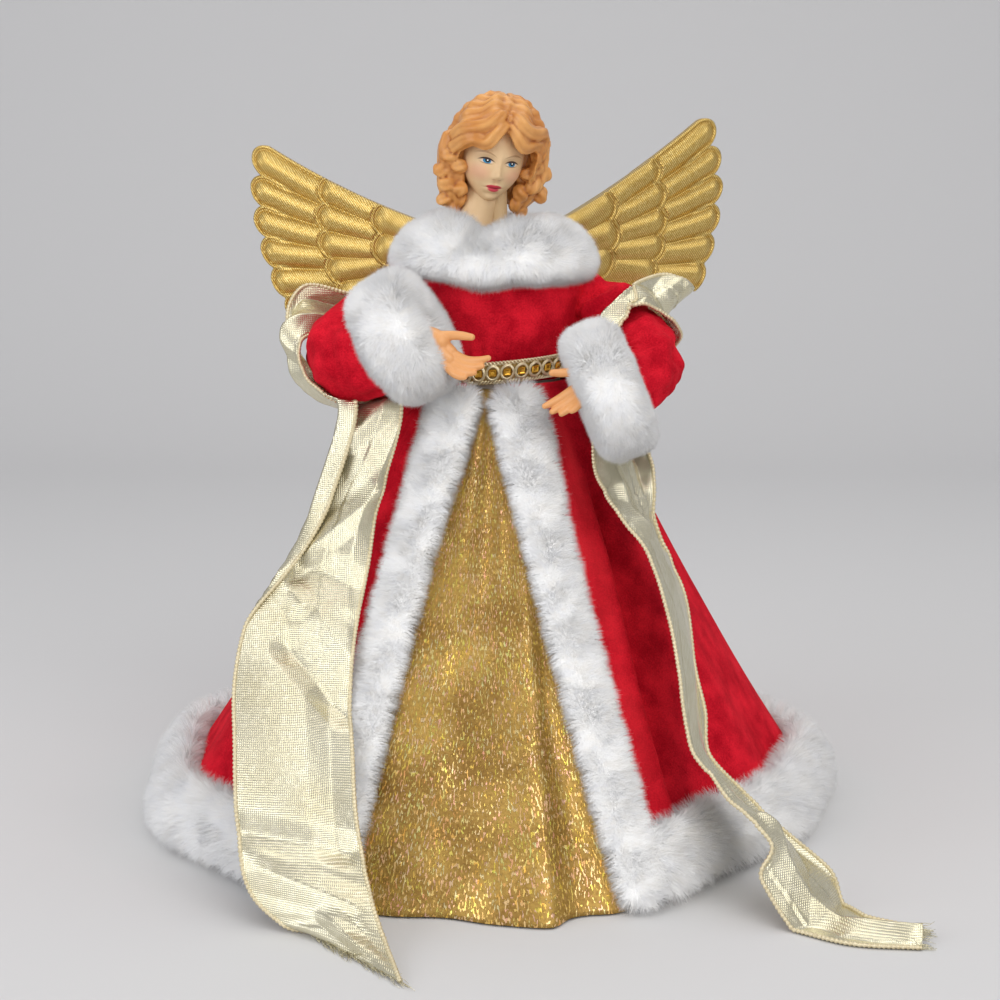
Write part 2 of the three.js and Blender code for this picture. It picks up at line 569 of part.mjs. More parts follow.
// Arms. The cuff is placed from the shoulder, the hand from the cuff.
const ARMS = [
  { side: 'left', cuff: V(2, -51, -6), reach: V(0.87, -0.33, -0.28) },
  { side: 'right', cuff: V(1, -57, -27), reach: V(-0.85, -0.45, 0.18) },
];
ARMS.forEach((arm, number) => {
  const shoulder = shoulders[number];
  arm.elbowAt = elbows[number];
  arm.cuffAt = shoulder.clone().add(arm.cuff);
  arm.along = arm.cuffAt.clone().sub(arm.elbowAt).normalize();
  const onForearm = (distance) => arm.cuffAt.clone().addScaledVector(arm.along, distance);
  const cuffBack = -CUFF_LENGTH / 2;
  const wireRun = [
    shoulder.clone().lerp(arm.elbowAt, -0.2),
    shoulder.clone().lerp(arm.elbowAt, 0.4),
    arm.elbowAt.clone().lerp(arm.cuffAt, 0.12),
    arm.elbowAt.clone().lerp(arm.cuffAt, 0.4),
    onForearm(-2),
  ];
  const upper = limb(shoulder, SHOULDER_RADIUS, arm.elbowAt, ELBOW_RADIUS);
  const gathered = ELBOW_RADIUS - 4;
  const fore = limb(arm.elbowAt, ELBOW_RADIUS, onForearm(cuffBack - gathered + 2), gathered);
  const wrist = rod(onForearm(cuffBack - 8), onForearm(0), CUFF_BORE - GAP, 12);
  const wireCut = solid(wire([...wireRun, onForearm(2)], WIRE_RADIUS + 2 * GAP));
  const sleeve = union([upper, fore, wrist].map(solid)).subtract(wireCut);
  const cuffProfile = [];
  for (let i = 0; i <= 10; i += 1) {
    const angle = (Math.PI * 2 * i) / 10;
    const middle = (CUFF_BORE + CUFF_RADIUS) / 2;
    const half = (CUFF_RADIUS - CUFF_BORE) / 2;
    const across = (CUFF_LENGTH / 2) * Math.sin(angle);
    cuffProfile.push(new THREE.Vector2(middle + half * Math.cos(angle), across));
  }
  const cuff = aim(new THREE.LatheGeometry(cuffProfile, 20), arm.cuffAt, onForearm(1));
  add(`${arm.side}_sleeve`, surface(sleeve), '#a80d22', 0.9);
  add(`${arm.side}_cuff`, surface(solid(cuff)), '#eeeef0', 1);
  add(`${arm.side}_arm_wire`, wire(wireRun, WIRE_RADIUS), '#8d9196', 0.4, 0.9);

  // Hand: a round wrist on the forearm's axis, then a palm, a thumb and four fingers.
  const wristAt = onForearm(CUFF_LENGTH / 2 + 1);
  const reach = arm.reach.clone().normalize();
  const thumbWay = V(0, 0, 1).addScaledVector(reach, -reach.z).normalize();
  const palmWay = V(0, 0, 0).crossVectors(reach, thumbWay);
  const inHand = (a, b, c) =>
    wristAt.clone().addScaledVector(reach, a).addScaledVector(thumbWay, b).addScaledVector(palmWay, c);
  const parts = [
    rod(onForearm(GAP), wristAt, STUB_RADIUS, 12),
    limb(wristAt, STUB_RADIUS + 0.4, inHand(5, 0, 0), 4.2, 8, 2),
    limb(inHand(4, 2.2, 0), 3.2, inHand(11, 2, 0), 2.6, 8, 2),
    limb(inHand(4, -2.2, 0), 3.2, inHand(11, -2, 0), 2.6, 8, 2),
    limb(inHand(5, 4, 0), 2.3, inHand(15, 7.5, -1), 1.5, 7, 2),
  ];
  for (let finger = 0; finger < 4; finger += 1) {
    const spread = 3.3 - finger * 2.2;
    const length = 19 - Math.abs(finger - 1.3) * 1.6;
    parts.push(limb(inHand(10, spread, 0), 1.7, inHand(length, spread * 1.3 - 1, 1), 1.2, 7, 2));
  }
  add(`${arm.side}_hand`, surface(union(parts.map(solid))), '#e8b07a', 0.45);
});

// Wing plate behind the collar, padded out to the bodice below it.
const collarReach = COLLAR_RADIUS + (COLLAR_LENGTH / 2) * collarRun + 2.4;
const PLATE_FRONT = COLLAR_CENTRE.y + COLLAR_DEPTH * collarReach;
const PLATE_BACK = PLATE_FRONT + PLATE_THICKNESS;
const PLATE_BOTTOM = WAIST_HEIGHT + 22;
const PLATE_TOP = BODICE_TOP + 8;
const COLLAR_BOTTOM = COLLAR_CENTRE.z - COLLAR_LENGTH / 2 + 2;
const block = (low, high) => {
  const geometry = new THREE.BoxGeometry(...high.clone().sub(low).toArray());
  const middle = low.clone().add(high).multiplyScalar(0.5);
  geometry.translate(middle.x, middle.y, middle.z);
  return solid(geometry);
};
const plateHalf = PLATE_WIDTH / 2;
const plate = block(V(-plateHalf, PLATE_FRONT, PLATE_BOTTOM), V(plateHalf, PLATE_BACK, PLATE_TOP));
const padTop = COLLAR_BOTTOM - 3 * GAP;
const pad = block(V(-plateHalf, 10, PLATE_BOTTOM), V(plateHalf, PLATE_FRONT + 0.5, padTop));
add('wing_plate', surface(plate.add(pad.subtract(bodiceGrown))), '#b99a5a', 0.8);

// Wings of padded feathers: root, then three rows from the short inner ones to the long outer ones.
// Each row gives inner reach, outer reach, feather radius and how far it stands forward.
const FEATHER_ROWS = [
  { count: 3, inner: 0.12, outer: 0.44, radius: 0.085, forward: 1.6, low: -8, high: 32 },
  { count: 5, inner: 0.25, outer: 0.7, radius: 0.075, forward: 0.8, low: -9, high: 33 },
  { count: 6, inner: 0.38, outer: 1, radius: 0.072, forward: 0, low: -9, high: 32 },
];
const WING_MIDDLE = WAIST_HEIGHT + 50;
const HINGE_Y = PLATE_BACK - HINGE_RADIUS;
function wing(side, roll, sweep) {
  const frame = new THREE.Matrix4().makeRotationZ(side * radians(sweep));
  const hinge = V(side * (plateHalf + GAP + HINGE_RADIUS), HINGE_Y, WING_MIDDLE);
  const parts = [];
  for (const row of FEATHER_ROWS) {
    for (let i = 0; i < row.count; i += 1) {
      const share = i / (row.count - 1);
      const rise = radians(mix(row.low, row.high, share) + roll);
      const radius = row.radius * WING_LENGTH;
      const tip = row.outer * WING_LENGTH * mix(0.88, 1, share) - radius;
      const start = row.inner * WING_LENGTH;
      const from = V(start * Math.cos(rise), 0, start * Math.sin(rise));
      const to = V(tip * Math.cos(rise), 0, tip * Math.sin(rise));
      const feather = limb(from, radius * 0.8, to, radius, 8, 2);
      feather.scale(side, WING_THICKNESS / 2 / radius, 1);
      if (side < 0) {
        feather.index.array.reverse();
      }
      feather.translate(side * 2, 1.2 - row.forward, 0);
      parts.push(solid(feather.applyMatrix4(frame).translate(hinge.x, hinge.y, hinge.z)));
    }
  }
  const rootBottom = hinge.clone().add(V(0, 0, -14));
  const rootTop = hinge.clone().add(V(0, 0, 17));
  const root = V(0, 0, 0);
  const shoulder = limb(root, 9, V(side * 24, 0, 6), 12, 8, 2);
  shoulder.scale(1, WING_THICKNESS / 24, 1);
  shoulder.translate(side * 8, 0.6, 0);
  parts.push(solid(shoulder.applyMatrix4(frame).translate(hinge.x, hinge.y, hinge.z)));
  parts.push(solid(rod(rootBottom, rootTop, HINGE_RADIUS, 12)));
  return surface(union(parts));
}
add('left_wing', wing(-1, LEFT_WING_ROLL, LEFT_WING_SWEEP), '#be9640', 0.35, 0.8);
add('right_wing', wing(1, RIGHT_WING_ROLL, RIGHT_WING_SWEEP), '#be9640', 0.35, 0.8);

// Sash: one ribbon from tail to tail, passing behind the back and around both elbows.
// Near the arms its places are measured from the elbow, on the tails from the coat.
const nearElbow = (arm, offset, width) => ({ p: arm.elbowAt.clone().add(offset), w: width });
const offCoat = (share, degrees, out, width) => {
  const z = share * WAIST_HEIGHT;
  const angle = radians(degrees);
  return { p: around(angle, redOutside(angle, z) + out, Math.max(z, 1.2)), w: width };
};
const [leftArm, rightArm] = ARMS;
const backY = SKIRT_TOP_RADIUS + 12;
const sash = [
  offCoat(0.007, -15.5, 38, V(18, -22, 0)),
  offCoat(0.03, -19, 31, V(19, -11, 2)),
  offCoat(0.09, -23.4, 30, V(22, -5, 3)),
  offCoat(0.2, -27.2, 30, V(22, 0, 1)),
  offCoat(0.32, -31.6, 31, V(22, 1, -2)),
  offCoat(0.42, -36.4, 32, V(22, 1, -3)),
  offCoat(0.53, -41, 33, V(21, 1, -2)),
  offCoat(0.64, -43, 32, V(17, 2, 0)),
  offCoat(0.75, -46, 31, V(13, 4, 0)),
  nearElbow(leftArm, V(6, -16, -33), V(9, 9, 0)),
  nearElbow(leftArm, V(0, -6, -25), V(3, 12, -1)),
  nearElbow(leftArm, V(-13, 3, -19), V(-4, 15, -2)),
  nearElbow(leftArm, V(-23, 11, -6), V(-7, 16, 0)),
  nearElbow(leftArm, V(-25, 19, 7), V(-8, 15, 4)),
  nearElbow(leftArm, V(-16, 33, 15), V(-6, 10, 12)),
  nearElbow(leftArm, V(0, 49, 10), V(-2, 3, 15)),
  { p: V(-34, backY - 3, WAIST_HEIGHT + 13), w: V(0, 1, 13) },
  { p: V(0, backY, WAIST_HEIGHT + 7), w: V(0, 0, 12) },
  { p: V(34, backY - 3, WAIST_HEIGHT + 13), w: V(0, 1, 13) },
  nearElbow(rightArm, V(-1, 50, 11), V(2, 4, 15)),
  nearElbow(rightArm, V(2, 36, 21), V(-3, 11, 10)),
  nearElbow(rightArm, V(8, 21, 20), V(-5, 14, 6)),
  nearElbow(rightArm, V(16, 15, 8), V(-5, 15, 3)),
  nearElbow(rightArm, V(17, 9, -9), V(-2, 15, 1)),
  nearElbow(rightArm, V(7, 0, -24), V(4, 13, 0)),
  nearElbow(rightArm, V(-3, -11, -41), V(10, 9, 0)),
  offCoat(0.74, 41, 28, V(11, 7, -3)),
  offCoat(0.64, 44, 29.5, V(7, 12, -4)),
  offCoat(0.54, 43, 28, V(4, 15, 0)),
  offCoat(0.43, 39.5, 27, V(5, 14, -3)),
  offCoat(0.32, 37, 25, V(4, 12, 2)),
  offCoat(0.25, 35.5, 31, V(6, 12, 0)),
  offCoat(0.2, 36, 44.5, V(10, 9, -2)),
  offCoat(0.14, 37.3, 56, V(13, 10, -4)),
  offCoat(0.07, 37.5, 59, V(14, 9, 0)),
  offCoat(0.012, 38, 64.5, V(10, 10, 0)),
  offCoat(0.007, 38.5, 77.5, V(4, 10, 0)),
  offCoat(0.007, 41.5, 98.5, V(2, 6, 0)),
];
const middleLine = new THREE.CatmullRomCurve3(sash.map((f) => f.p), false, 'centripetal');
const widthLine = new THREE.CatmullRomCurve3(sash.map((f) => f.w), false, 'centripetal');
function sashPiece(fromFrame, toFrame, stepsPerFrame) {
  const spans = sash.length - 1;
  const inset = 0.02;
  const first = fromFrame === 0 ? 0 : (fromFrame + inset) / spans;
  const last = toFrame === spans ? 1 : (toFrame - inset) / spans;
  const steps = Math.round((toFrame - fromFrame) * stepsPerFrame);
  const faces = [[], []];
  for (let i = 0; i <= steps; i += 1) {
    const at = mix(first, last, i / steps);
    const centre = middleLine.getPoint(at);
    const ahead = middleLine.getTangent(at);
    const width = widthLine.getPoint(at);
    const out = V(0, 0, 0).crossVectors(ahead, width).normalize();
    const lines = [[], []];
    for (const share of [-1, -0.5, 0, 0.5, 1]) {
      const crease = SASH_CREASE * Math.cos(share * Math.PI);
      for (const face of [0, 1]) {
        const offset = crease + (face - 0.5) * SASH_THICKNESS;
        const place = centre.clone().addScaledVector(width, share).addScaledVector(out, offset);
        place.z = Math.max(place.z, face * SASH_THICKNESS + GAP);
        lines[face].push(place);
      }
    }
    faces[0].push(lines[0]);
    faces[1].push(lines[1]);
  }
  return cloth(faces[1], faces[0], false);
}
const SASH = '#dccfa2';
add('sash_left_tail', sashPiece(0, 9, 2.5), SASH, 0.35, 0.5);
add('sash_left_loop', sashPiece(9, 15, 2.5), SASH, 0.35, 0.5);
add('sash_back', sashPiece(15, 19, 3), SASH, 0.35, 0.5);
add('sash_right_loop', sashPiece(19, 25, 2.5), SASH, 0.35, 0.5);
add('sash_right_tail', sashPiece(25, 37, 2.5), SASH, 0.35, 0.5);

export default angel;
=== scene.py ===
# %% [markdown]
# # Dressing an angel tree topper
# The solids of the topper are already in place: a cone, a stuffed body, arms on wires, wings and a sash.
# This lesson gives each of them its cloth, fur, paint or gilt. The part's own frame is loaded first and
# never moved. Places are written in millimetres, as a maker would measure them, and turned into metres
# once, when a mesh is made.

# %% Load the frame
import math

import bpy
import numpy as np
from mathutils import Matrix, Vector, kdtree


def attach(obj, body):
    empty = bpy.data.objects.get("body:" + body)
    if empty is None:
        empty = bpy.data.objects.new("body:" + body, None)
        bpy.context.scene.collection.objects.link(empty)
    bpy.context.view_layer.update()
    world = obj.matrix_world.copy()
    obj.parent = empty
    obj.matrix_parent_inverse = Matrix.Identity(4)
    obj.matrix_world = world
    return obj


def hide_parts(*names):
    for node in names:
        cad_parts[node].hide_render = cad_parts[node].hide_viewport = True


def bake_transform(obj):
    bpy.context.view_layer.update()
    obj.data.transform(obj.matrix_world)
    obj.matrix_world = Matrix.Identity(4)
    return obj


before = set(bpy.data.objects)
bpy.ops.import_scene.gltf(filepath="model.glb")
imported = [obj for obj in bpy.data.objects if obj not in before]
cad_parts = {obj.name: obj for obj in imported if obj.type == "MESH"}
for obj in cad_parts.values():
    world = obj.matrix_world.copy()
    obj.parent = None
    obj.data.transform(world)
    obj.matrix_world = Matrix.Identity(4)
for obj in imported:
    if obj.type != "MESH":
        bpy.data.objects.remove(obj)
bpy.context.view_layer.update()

MM = 0.001

# %% [markdown]
# ## Camera, light and floor
# The photograph was taken from a little above the waist, about 85 cm away, with a short telephoto lens. One
# large soft lamp at the upper right, a weaker one at the left, one above and a pale world light the cloth.
# The floor bends up into a backdrop, so that no horizon line shows behind the wings.

# %% Camera
camera_data = bpy.data.cameras.new("camera")
camera_data.lens = 72
camera_data.sensor_width = 36
camera = bpy.data.objects.new("camera", camera_data)
camera.location = (0, -0.852, 0.280)
camera.rotation_euler = (math.radians(90) - math.atan(350 / 2000), 0, 0)
bpy.context.scene.collection.objects.link(camera)
bpy.context.scene.camera = camera


# %% Lamps and world
def soft_lamp(name, place, target, size, power, colour):
    data = bpy.data.lights.new(name, "AREA")
    data.shape = "DISK"
    data.size = size
    data.energy = power
    data.color = colour
    lamp = bpy.data.objects.new(name, data)
    lamp.location = place
    lamp.rotation_euler = (Vector(target) - Vector(place)).to_track_quat("-Z", "Y").to_euler()
    bpy.context.scene.collection.objects.link(lamp)


MIDDLE = (0, 0, 0.15)
soft_lamp("window", (0.6, -1.3, 1.1), MIDDLE, 1.5, 13, (1.0, 0.98, 0.95))
soft_lamp("fill", (-1.2, -0.9, 0.6), MIDDLE, 1.2, 8.5, (0.97, 0.98, 1.0))
soft_lamp("top", (0.1, 0.2, 1.4), MIDDLE, 1.2, 5.5, (1.0, 0.98, 0.95))

world = bpy.data.worlds.new("studio")
bpy.context.scene.world = world
world.use_nodes = True
world.node_tree.nodes["Background"].inputs["Color"].default_value = (0.95, 0.95, 1.0, 1)
world.node_tree.nodes["Background"].inputs["Strength"].default_value = 0.46
bpy.context.scene.view_settings.view_transform = "Standard"


# %% [markdown]
# ## Small tools
# Cloth here is made from grids of points, because a maker thinks of it as rows: down a skirt, along a ribbon.
# `mesh_piece` turns points and faces into a piece that rides on one body of the frame.

# %% Meshes from points
def make_object(name, points, faces, smooth=True):
    points = np.asarray(points, np.float32).reshape(-1, 3) * MM
    mesh = bpy.data.meshes.new(name)
    mesh.vertices.add(len(points))
    mesh.vertices.foreach_set("co", points.ravel())
    groups = [np.asarray(f, np.int32) for f in faces if len(f)]
    corners = np.concatenate([f.ravel() for f in groups])
    sizes = np.concatenate([np.full(len(f), f.shape[1]) for f in groups])
    mesh.loops.add(len(corners))
    mesh.loops.foreach_set("vertex_index", corners)
    mesh.polygons.add(len(sizes))
    mesh.polygons.foreach_set("loop_start", np.concatenate([[0], np.cumsum(sizes)[:-1]]).astype(np.int32))
    mesh.polygons.foreach_set("use_smooth", np.full(len(sizes), smooth))
    mesh.update(calc_edges=True)
    mesh.validate()
    made = bpy.data.objects.new(name, mesh)
    bpy.context.scene.collection.objects.link(made)
    return made


def finish_piece(made, materials, body, replaces=()):
    for material in materials if isinstance(materials, (list, tuple)) else [materials]:
        made.data.materials.append(material)
    if body:
        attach(made, body)
    if replaces:
        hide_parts(*replaces)
    print("made", made.name, len(made.data.polygons), "faces")
    return made


def facing_out(points, faces):
    """The faces of a closed shape, turned over if they look inward, as they do on a mirrored piece."""
    from_middle = np.asarray(points, float).reshape(-1, 3)
    from_middle = from_middle - from_middle.mean(axis=0)
    volume = 0
    for group in faces:
        corners = from_middle[np.asarray(group)]
        for i in range(1, corners.shape[1] - 1):
            volume += np.sum(corners[:, 0] * np.cross(corners[:, i], corners[:, i + 1]))
    return faces if volume > 0 else [np.asarray(group)[:, ::-1] for group in faces]


def mesh_piece(name, points, faces, materials, body, slot, replaces=(), smooth=True):
    """A closed shape as a finished piece."""
    return finish_piece(make_object(name, points, facing_out(points, faces), smooth), materials, body,
                        replaces)


def grid_faces(rows, columns, ring=False, loop=False):
    """Quads over rows of points. A ring joins each row's ends, a loop joins the last row to the first."""
    row = np.arange(rows if loop else rows - 1)[:, None]
    column = np.arange(columns if ring else columns - 1)[None]
    right = (column + 1) % columns
    below = (row + 1) % rows
    quads = [row * columns + column, row * columns + right, below * columns + right, below * columns + column]
    return np.stack(quads, -1).reshape(-1, 4)


def apply_modifiers(made):
    bpy.context.view_layer.update()
    fresh = bpy.data.meshes.new_from_object(made.evaluated_get(bpy.context.evaluated_depsgraph_get()))
    made.modifiers.clear()
    old = made.data
    made.data = fresh
    bpy.data.meshes.remove(old)


def solidify(made, thickness):
    """Thicken a sheet on its inner side."""
    modifier = made.modifiers.new("thickness", "SOLIDIFY")
    modifier.thickness = thickness * MM
    modifier.offset = -1
    apply_modifiers(made)


def keep_values(made, name, kind, field, values):
    """Store a value at every point of a mesh, for its finish to read."""
    layer = made.data.attributes.new(name, kind, "POINT")
    layer.data.foreach_set(field, values.astype(np.float32).ravel())


# %% Helpers for curves, waves and directions
def unit(vectors):
    vectors = np.asarray(vectors, float)
    return vectors / np.maximum(np.linalg.norm(vectors, axis=-1, keepdims=True), 1e-9)


def ease(value, low, high):
    share = np.clip((np.asarray(value, float) - low) / (high - low), 0, 1)
    return share * share * (3 - 2 * share)


def mix(a, b, share):
    return a + (b - a) * share


def through(points, at):
    """Places on a smooth curve through the points; at counts points from 0."""
    p = np.asarray(points, float)
    last = len(p) - 2
    p = np.vstack([2 * p[0] - p[1], p, 2 * p[-1] - p[-2]])
    at = np.asarray(at, float)
    k = np.clip(at.astype(int), 0, last)
    w = (at - k)[:, None]
    x0, x1, x2, x3 = (p[k + i] for i in range(4))
    d0, d1, d2 = (np.sqrt(np.maximum(np.linalg.norm(b - a, axis=1), 1e-6))[:, None]
                  for a, b in ((x0, x1), (x1, x2), (x2, x3)))
    m1 = d1 * ((x1 - x0) / d0 - (x2 - x0) / (d0 + d1) + (x2 - x1) / d1)
    m2 = d1 * ((x2 - x1) / d1 - (x3 - x1) / (d1 + d2) + (x3 - x2) / d2)
    c2 = 3 * (x2 - x1) - 2 * m1 - m2
    c3 = 2 * (x1 - x2) + m1 + m2
    return x1 + w * m1 + w ** 2 * c2 + w ** 3 * c3


def wander(points, size, seed, waves=7):
    """A smooth wandering value from -1 to 1 at each point, with swells about size millimetres long."""
    draw = np.random.default_rng(seed)
    total = np.zeros(np.shape(points)[:-1])
    for _ in range(waves):
        way = unit(draw.normal(size=3)) * 2 * np.pi / (size * draw.uniform(0.7, 1.5))
        total += np.sin(np.asarray(points) @ way + draw.uniform(0, 2 * np.pi))
    return total / math.sqrt(waves)


def surface_normals(grid, ring=False, loop=False):
    """Outward ways of a grid of points, from its rows and columns."""
    def slope(axis, closed):
        if closed:
            return np.roll(grid, -1, axis) - np.roll(grid, 1, axis)
        return np.gradient(grid, axis=axis)
    return unit(np.cross(slope(1, ring), slope(0, loop)))


# %% Floor
def floor_points(width=3.0, front=-1.6, back=0.9, rise=1.4, bend=0.5):
    curve = np.linspace(0.1, np.pi / 2, 14)
    run = np.concatenate([np.linspace(front, back, 12), back + bend * np.sin(curve), np.full(4, back + bend)])
    up = np.concatenate([np.zeros(12), bend * (1 - np.cos(curve)), np.linspace(bend + 0.1, rise, 4)])
    side = np.linspace(-width / 2, width / 2, 9)
    return np.stack(np.broadcast_arrays(side[None], run[:, None], up[:, None]), -1) / MM


floor_grid = floor_points()
floor = make_object("floor", floor_grid, [grid_faces(*floor_grid.shape[:2])])
paper = bpy.data.materials.new("backdrop_paper")
paper.use_nodes = True
paper.node_tree.nodes["Principled BSDF"].inputs["Base Color"].default_value = (0.66, 0.66, 0.66, 1)
paper.node_tree.nodes["Principled BSDF"].inputs["Roughness"].default_value = 0.9
floor.data.materials.append(paper)


# %% [markdown]
# ## Finishes
# Every finish is a material made of nodes, with no picture files. Effects that several finishes share, such
# as the uneven nap of cloth or a fine weave, are node groups: they give out colours and heights, and each
# material sets its own strength. Sizes in the textures are per metre, so a scale of 500 means swells of
# about 2 mm.

# %% Node tools
def new_finish(name, colour, roughness, metallic=0.0):
    material = bpy.data.materials.new(name)
    material.use_nodes = True
    shader = material.node_tree.nodes["Principled BSDF"]
    shader.inputs["Base Color"].default_value = (*colour, 1)
    shader.inputs["Roughness"].default_value = roughness
    shader.inputs["Metallic"].default_value = metallic
    return material, material.node_tree, shader


def set_input(tree, socket, value):
    """Give an input a value, or link it to another node's output."""
    if isinstance(value, bpy.types.NodeSocket):
        tree.links.new(value, socket)
    else:
        socket.default_value = value


def add_node(tree, kind, settings=(), **inputs):
    made = tree.nodes.new(kind)
    for key, value in dict(settings).items():
        setattr(made, key, value)
    for key, value in inputs.items():
        set_input(tree, made.inputs[key.replace("_", " ")], value)
    return made


def colour_mix(tree, share, first, second):
    made = add_node(tree, "ShaderNodeMix", {"data_type": "RGBA"})
    set_input(tree, made.inputs[0], share)
    for socket, colour in ((made.inputs[6], first), (made.inputs[7], second)):
        set_input(tree, socket, (*colour, 1) if isinstance(colour, tuple) else colour)
    return made.outputs[2]


def calculate(tree, operation, first, second=0.0, third=0.0, clamp=False):
    made = add_node(tree, "ShaderNodeMath", {"operation": operation, "use_clamp": clamp})
    for socket, value in zip(made.inputs, (first, second, third)):
        set_input(tree, socket, value)
    return made.outputs[0]


def blend_range(tree, value, low, high):
    made = add_node(tree, "ShaderNodeMapRange", {"interpolation_type": "SMOOTHSTEP"}, Value=value)
    made.inputs["From Min"].default_value = low
    made.inputs["From Max"].default_value = high
    return made.outputs["Result"]


def place_of(tree):
    return add_node(tree, "ShaderNodeTexCoord").outputs["Object"]


def bump(tree, shader, height, distance, strength=1.0):
    made = add_node(tree, "ShaderNodeBump", Height=height, Strength=strength, Distance=distance)
    tree.links.new(made.outputs["Normal"], shader.inputs["Normal"])


def start_group(name, inputs, outputs):
    tree = bpy.data.node_groups.new(name, "ShaderNodeTree")
    for label, kind, value in inputs:
        socket = tree.interface.new_socket(label, in_out="INPUT", socket_type=kind)
        if value is not None:
            socket.default_value = value
    for label, kind in outputs:
        tree.interface.new_socket(label, in_out="OUTPUT", socket_type=kind)
    return tree, tree.nodes.new("NodeGroupInput"), tree.nodes.new("NodeGroupOutput")


def use_group(tree, group, **inputs):
    return add_node(tree, "ShaderNodeGroup", {"node_tree": group}, **inputs).outputs


# %% Shared effects: nap and weave
NUMBER, COLOUR, VECTOR = "NodeSocketFloat", "NodeSocketColor", "NodeSocketVector"

NAP, nap_in, nap_out = start_group(
    "uneven_nap",
    [("Place", VECTOR, None), ("Dark", COLOUR, (0.1, 0.1, 0.1, 1)), ("Light", COLOUR, (0.9, 0.9, 0.9, 1)),
     ("Patch", NUMBER, 90.0), ("Grain", NUMBER, 1800.0)],
    [("Color", COLOUR), ("Height", NUMBER)])
patches = add_node(NAP, "ShaderNodeTexNoise", Vector=nap_in.outputs["Place"], Scale=nap_in.outputs["Patch"],
                   Detail=4.0)
grain = add_node(NAP, "ShaderNodeTexNoise", Vector=nap_in.outputs["Place"], Scale=nap_in.outputs["Grain"],
                 Detail=2.0)
nap_share = calculate(NAP, "MULTIPLY_ADD", grain.outputs["Fac"], 0.45,
                      calculate(NAP, "MULTIPLY", patches.outputs["Fac"], 0.75))
nap_colour = colour_mix(NAP, blend_range(NAP, nap_share, 0.35, 0.85), nap_in.outputs["Dark"],
                        nap_in.outputs["Light"])
NAP.links.new(nap_colour, nap_out.inputs["Color"])
NAP.links.new(nap_share, nap_out.inputs["Height"])

WEAVE, weave_in, weave_out = start_group(
    "fine_weave",
    [("Place", VECTOR, None), ("Threads", NUMBER, 900.0), ("Unevenness", NUMBER, 0.4)],
    [("Height", NUMBER), ("Sparkle", NUMBER)])
warp = add_node(WEAVE, "ShaderNodeTexWave", {"wave_type": "BANDS", "bands_direction": "X"},
                Vector=weave_in.outputs["Place"], Scale=weave_in.outputs["Threads"], Distortion=1.5,
                Detail=1.0)
weft = add_node(WEAVE, "ShaderNodeTexWave", {"wave_type": "BANDS", "bands_direction": "Z"},
                Vector=weave_in.outputs["Place"], Scale=weave_in.outputs["Threads"], Distortion=1.5,
                Detail=1.0)
slub = add_node(WEAVE, "ShaderNodeTexNoise", Vector=weave_in.outputs["Place"],
                Scale=weave_in.outputs["Threads"], Detail=1.0)
crossing = calculate(WEAVE, "MAXIMUM", warp.outputs["Fac"], weft.outputs["Fac"])
WEAVE.links.new(calculate(WEAVE, "MULTIPLY_ADD", slub.outputs["Fac"], weave_in.outputs["Unevenness"],
                          crossing),
                weave_out.inputs["Height"])
WEAVE.links.new(blend_range(WEAVE, slub.outputs["Fac"], 0.45, 0.75), weave_out.inputs["Sparkle"])
print("node groups:", [g.name for g in bpy.data.node_groups])

# %% Velvet
def red_velvet():
    material, tree, shader = new_finish("red_velvet", (0.5, 0.01, 0.02), 0.85)
    nap = use_group(tree, NAP, Place=place_of(tree), Dark=(0.36, 0.001, 0.010, 1),
                    Light=(0.76, 0.014, 0.032, 1),
                    Patch=95.0, Grain=1500.0)
    # Painted highlight: a lighter red laid over the nap along the strip of coat beside the right front edge.
    painted_highlight_strip = add_node(tree, "ShaderNodeAttribute", {"attribute_name": "painted_highlight_strip"})
    colour = colour_mix(tree, painted_highlight_strip.outputs["Fac"], nap["Color"], (0.95, 0.04, 0.055))
    tree.links.new(colour, shader.inputs["Base Color"])
    shader.inputs["Sheen Weight"].default_value = 0.35
    shader.inputs["Sheen Roughness"].default_value = 0.45
    shader.inputs["Sheen Tint"].default_value = (1.0, 0.03, 0.05, 1)
    shader.inputs["Specular IOR Level"].default_value = 0.06
    bump(tree, shader, nap["Height"], 0.0012, 0.5)
    return material


VELVET = red_velvet()

# %% Fur: the knitted backing, and three whites for its strands
def fur_backing():
    material, tree, shader = new_finish("fur_backing", (0.85, 0.85, 0.86), 0.95)
    nap = use_group(tree, NAP, Place=place_of(tree), Dark=(0.82, 0.81, 0.81, 1), Light=(0.94, 0.94, 0.94, 1),
                    Patch=220.0, Grain=2500.0)
    tree.links.new(nap["Color"], shader.inputs["Base Color"])
    shader.inputs["Specular IOR Level"].default_value = 0.1
    bump(tree, shader, nap["Height"], 0.002, 0.6)
    return material


def fur_strand(name, colour):
    material, _, shader = new_finish(name, colour, 0.75)
    shader.inputs["Specular IOR Level"].default_value = 0.15
    shader.inputs["Sheen Weight"].default_value = 0.15
    return material


FUR_BACKING = fur_backing()
FUR_WHITES = [fur_strand("fur_white", (0.97, 0.97, 0.97)), fur_strand("fur_cool", (0.93, 0.935, 0.95)),
              fur_strand("fur_warm", (0.95, 0.94, 0.925))]


# %% [markdown]
# ## The shape of the skirts
# Both skirts hang on the cone, so they share one rule for their radius: a flare, a push to the front, a
# spread to one side and nine soft folds. The coat lies over the gold skirt and opens between two front
# edges.

# %% Skirt rules
CONE_HEIGHT = 182
CLOTH = 1.2


def fallen(z):
    return np.maximum(0, (CONE_HEIGHT - np.asarray(z, float)) / CONE_HEIGHT)


def around(angle, radius, z):
    """Angle 0 is straight ahead of the angel and grows toward the viewer's right."""
    angle, radius, z = np.broadcast_arrays(angle, radius, np.asarray(z, float))
    return np.stack([radius * np.sin(angle), -radius * np.cos(angle), z], -1)


SKIRT_FLARE, FRONT_PUSH = 104, 24


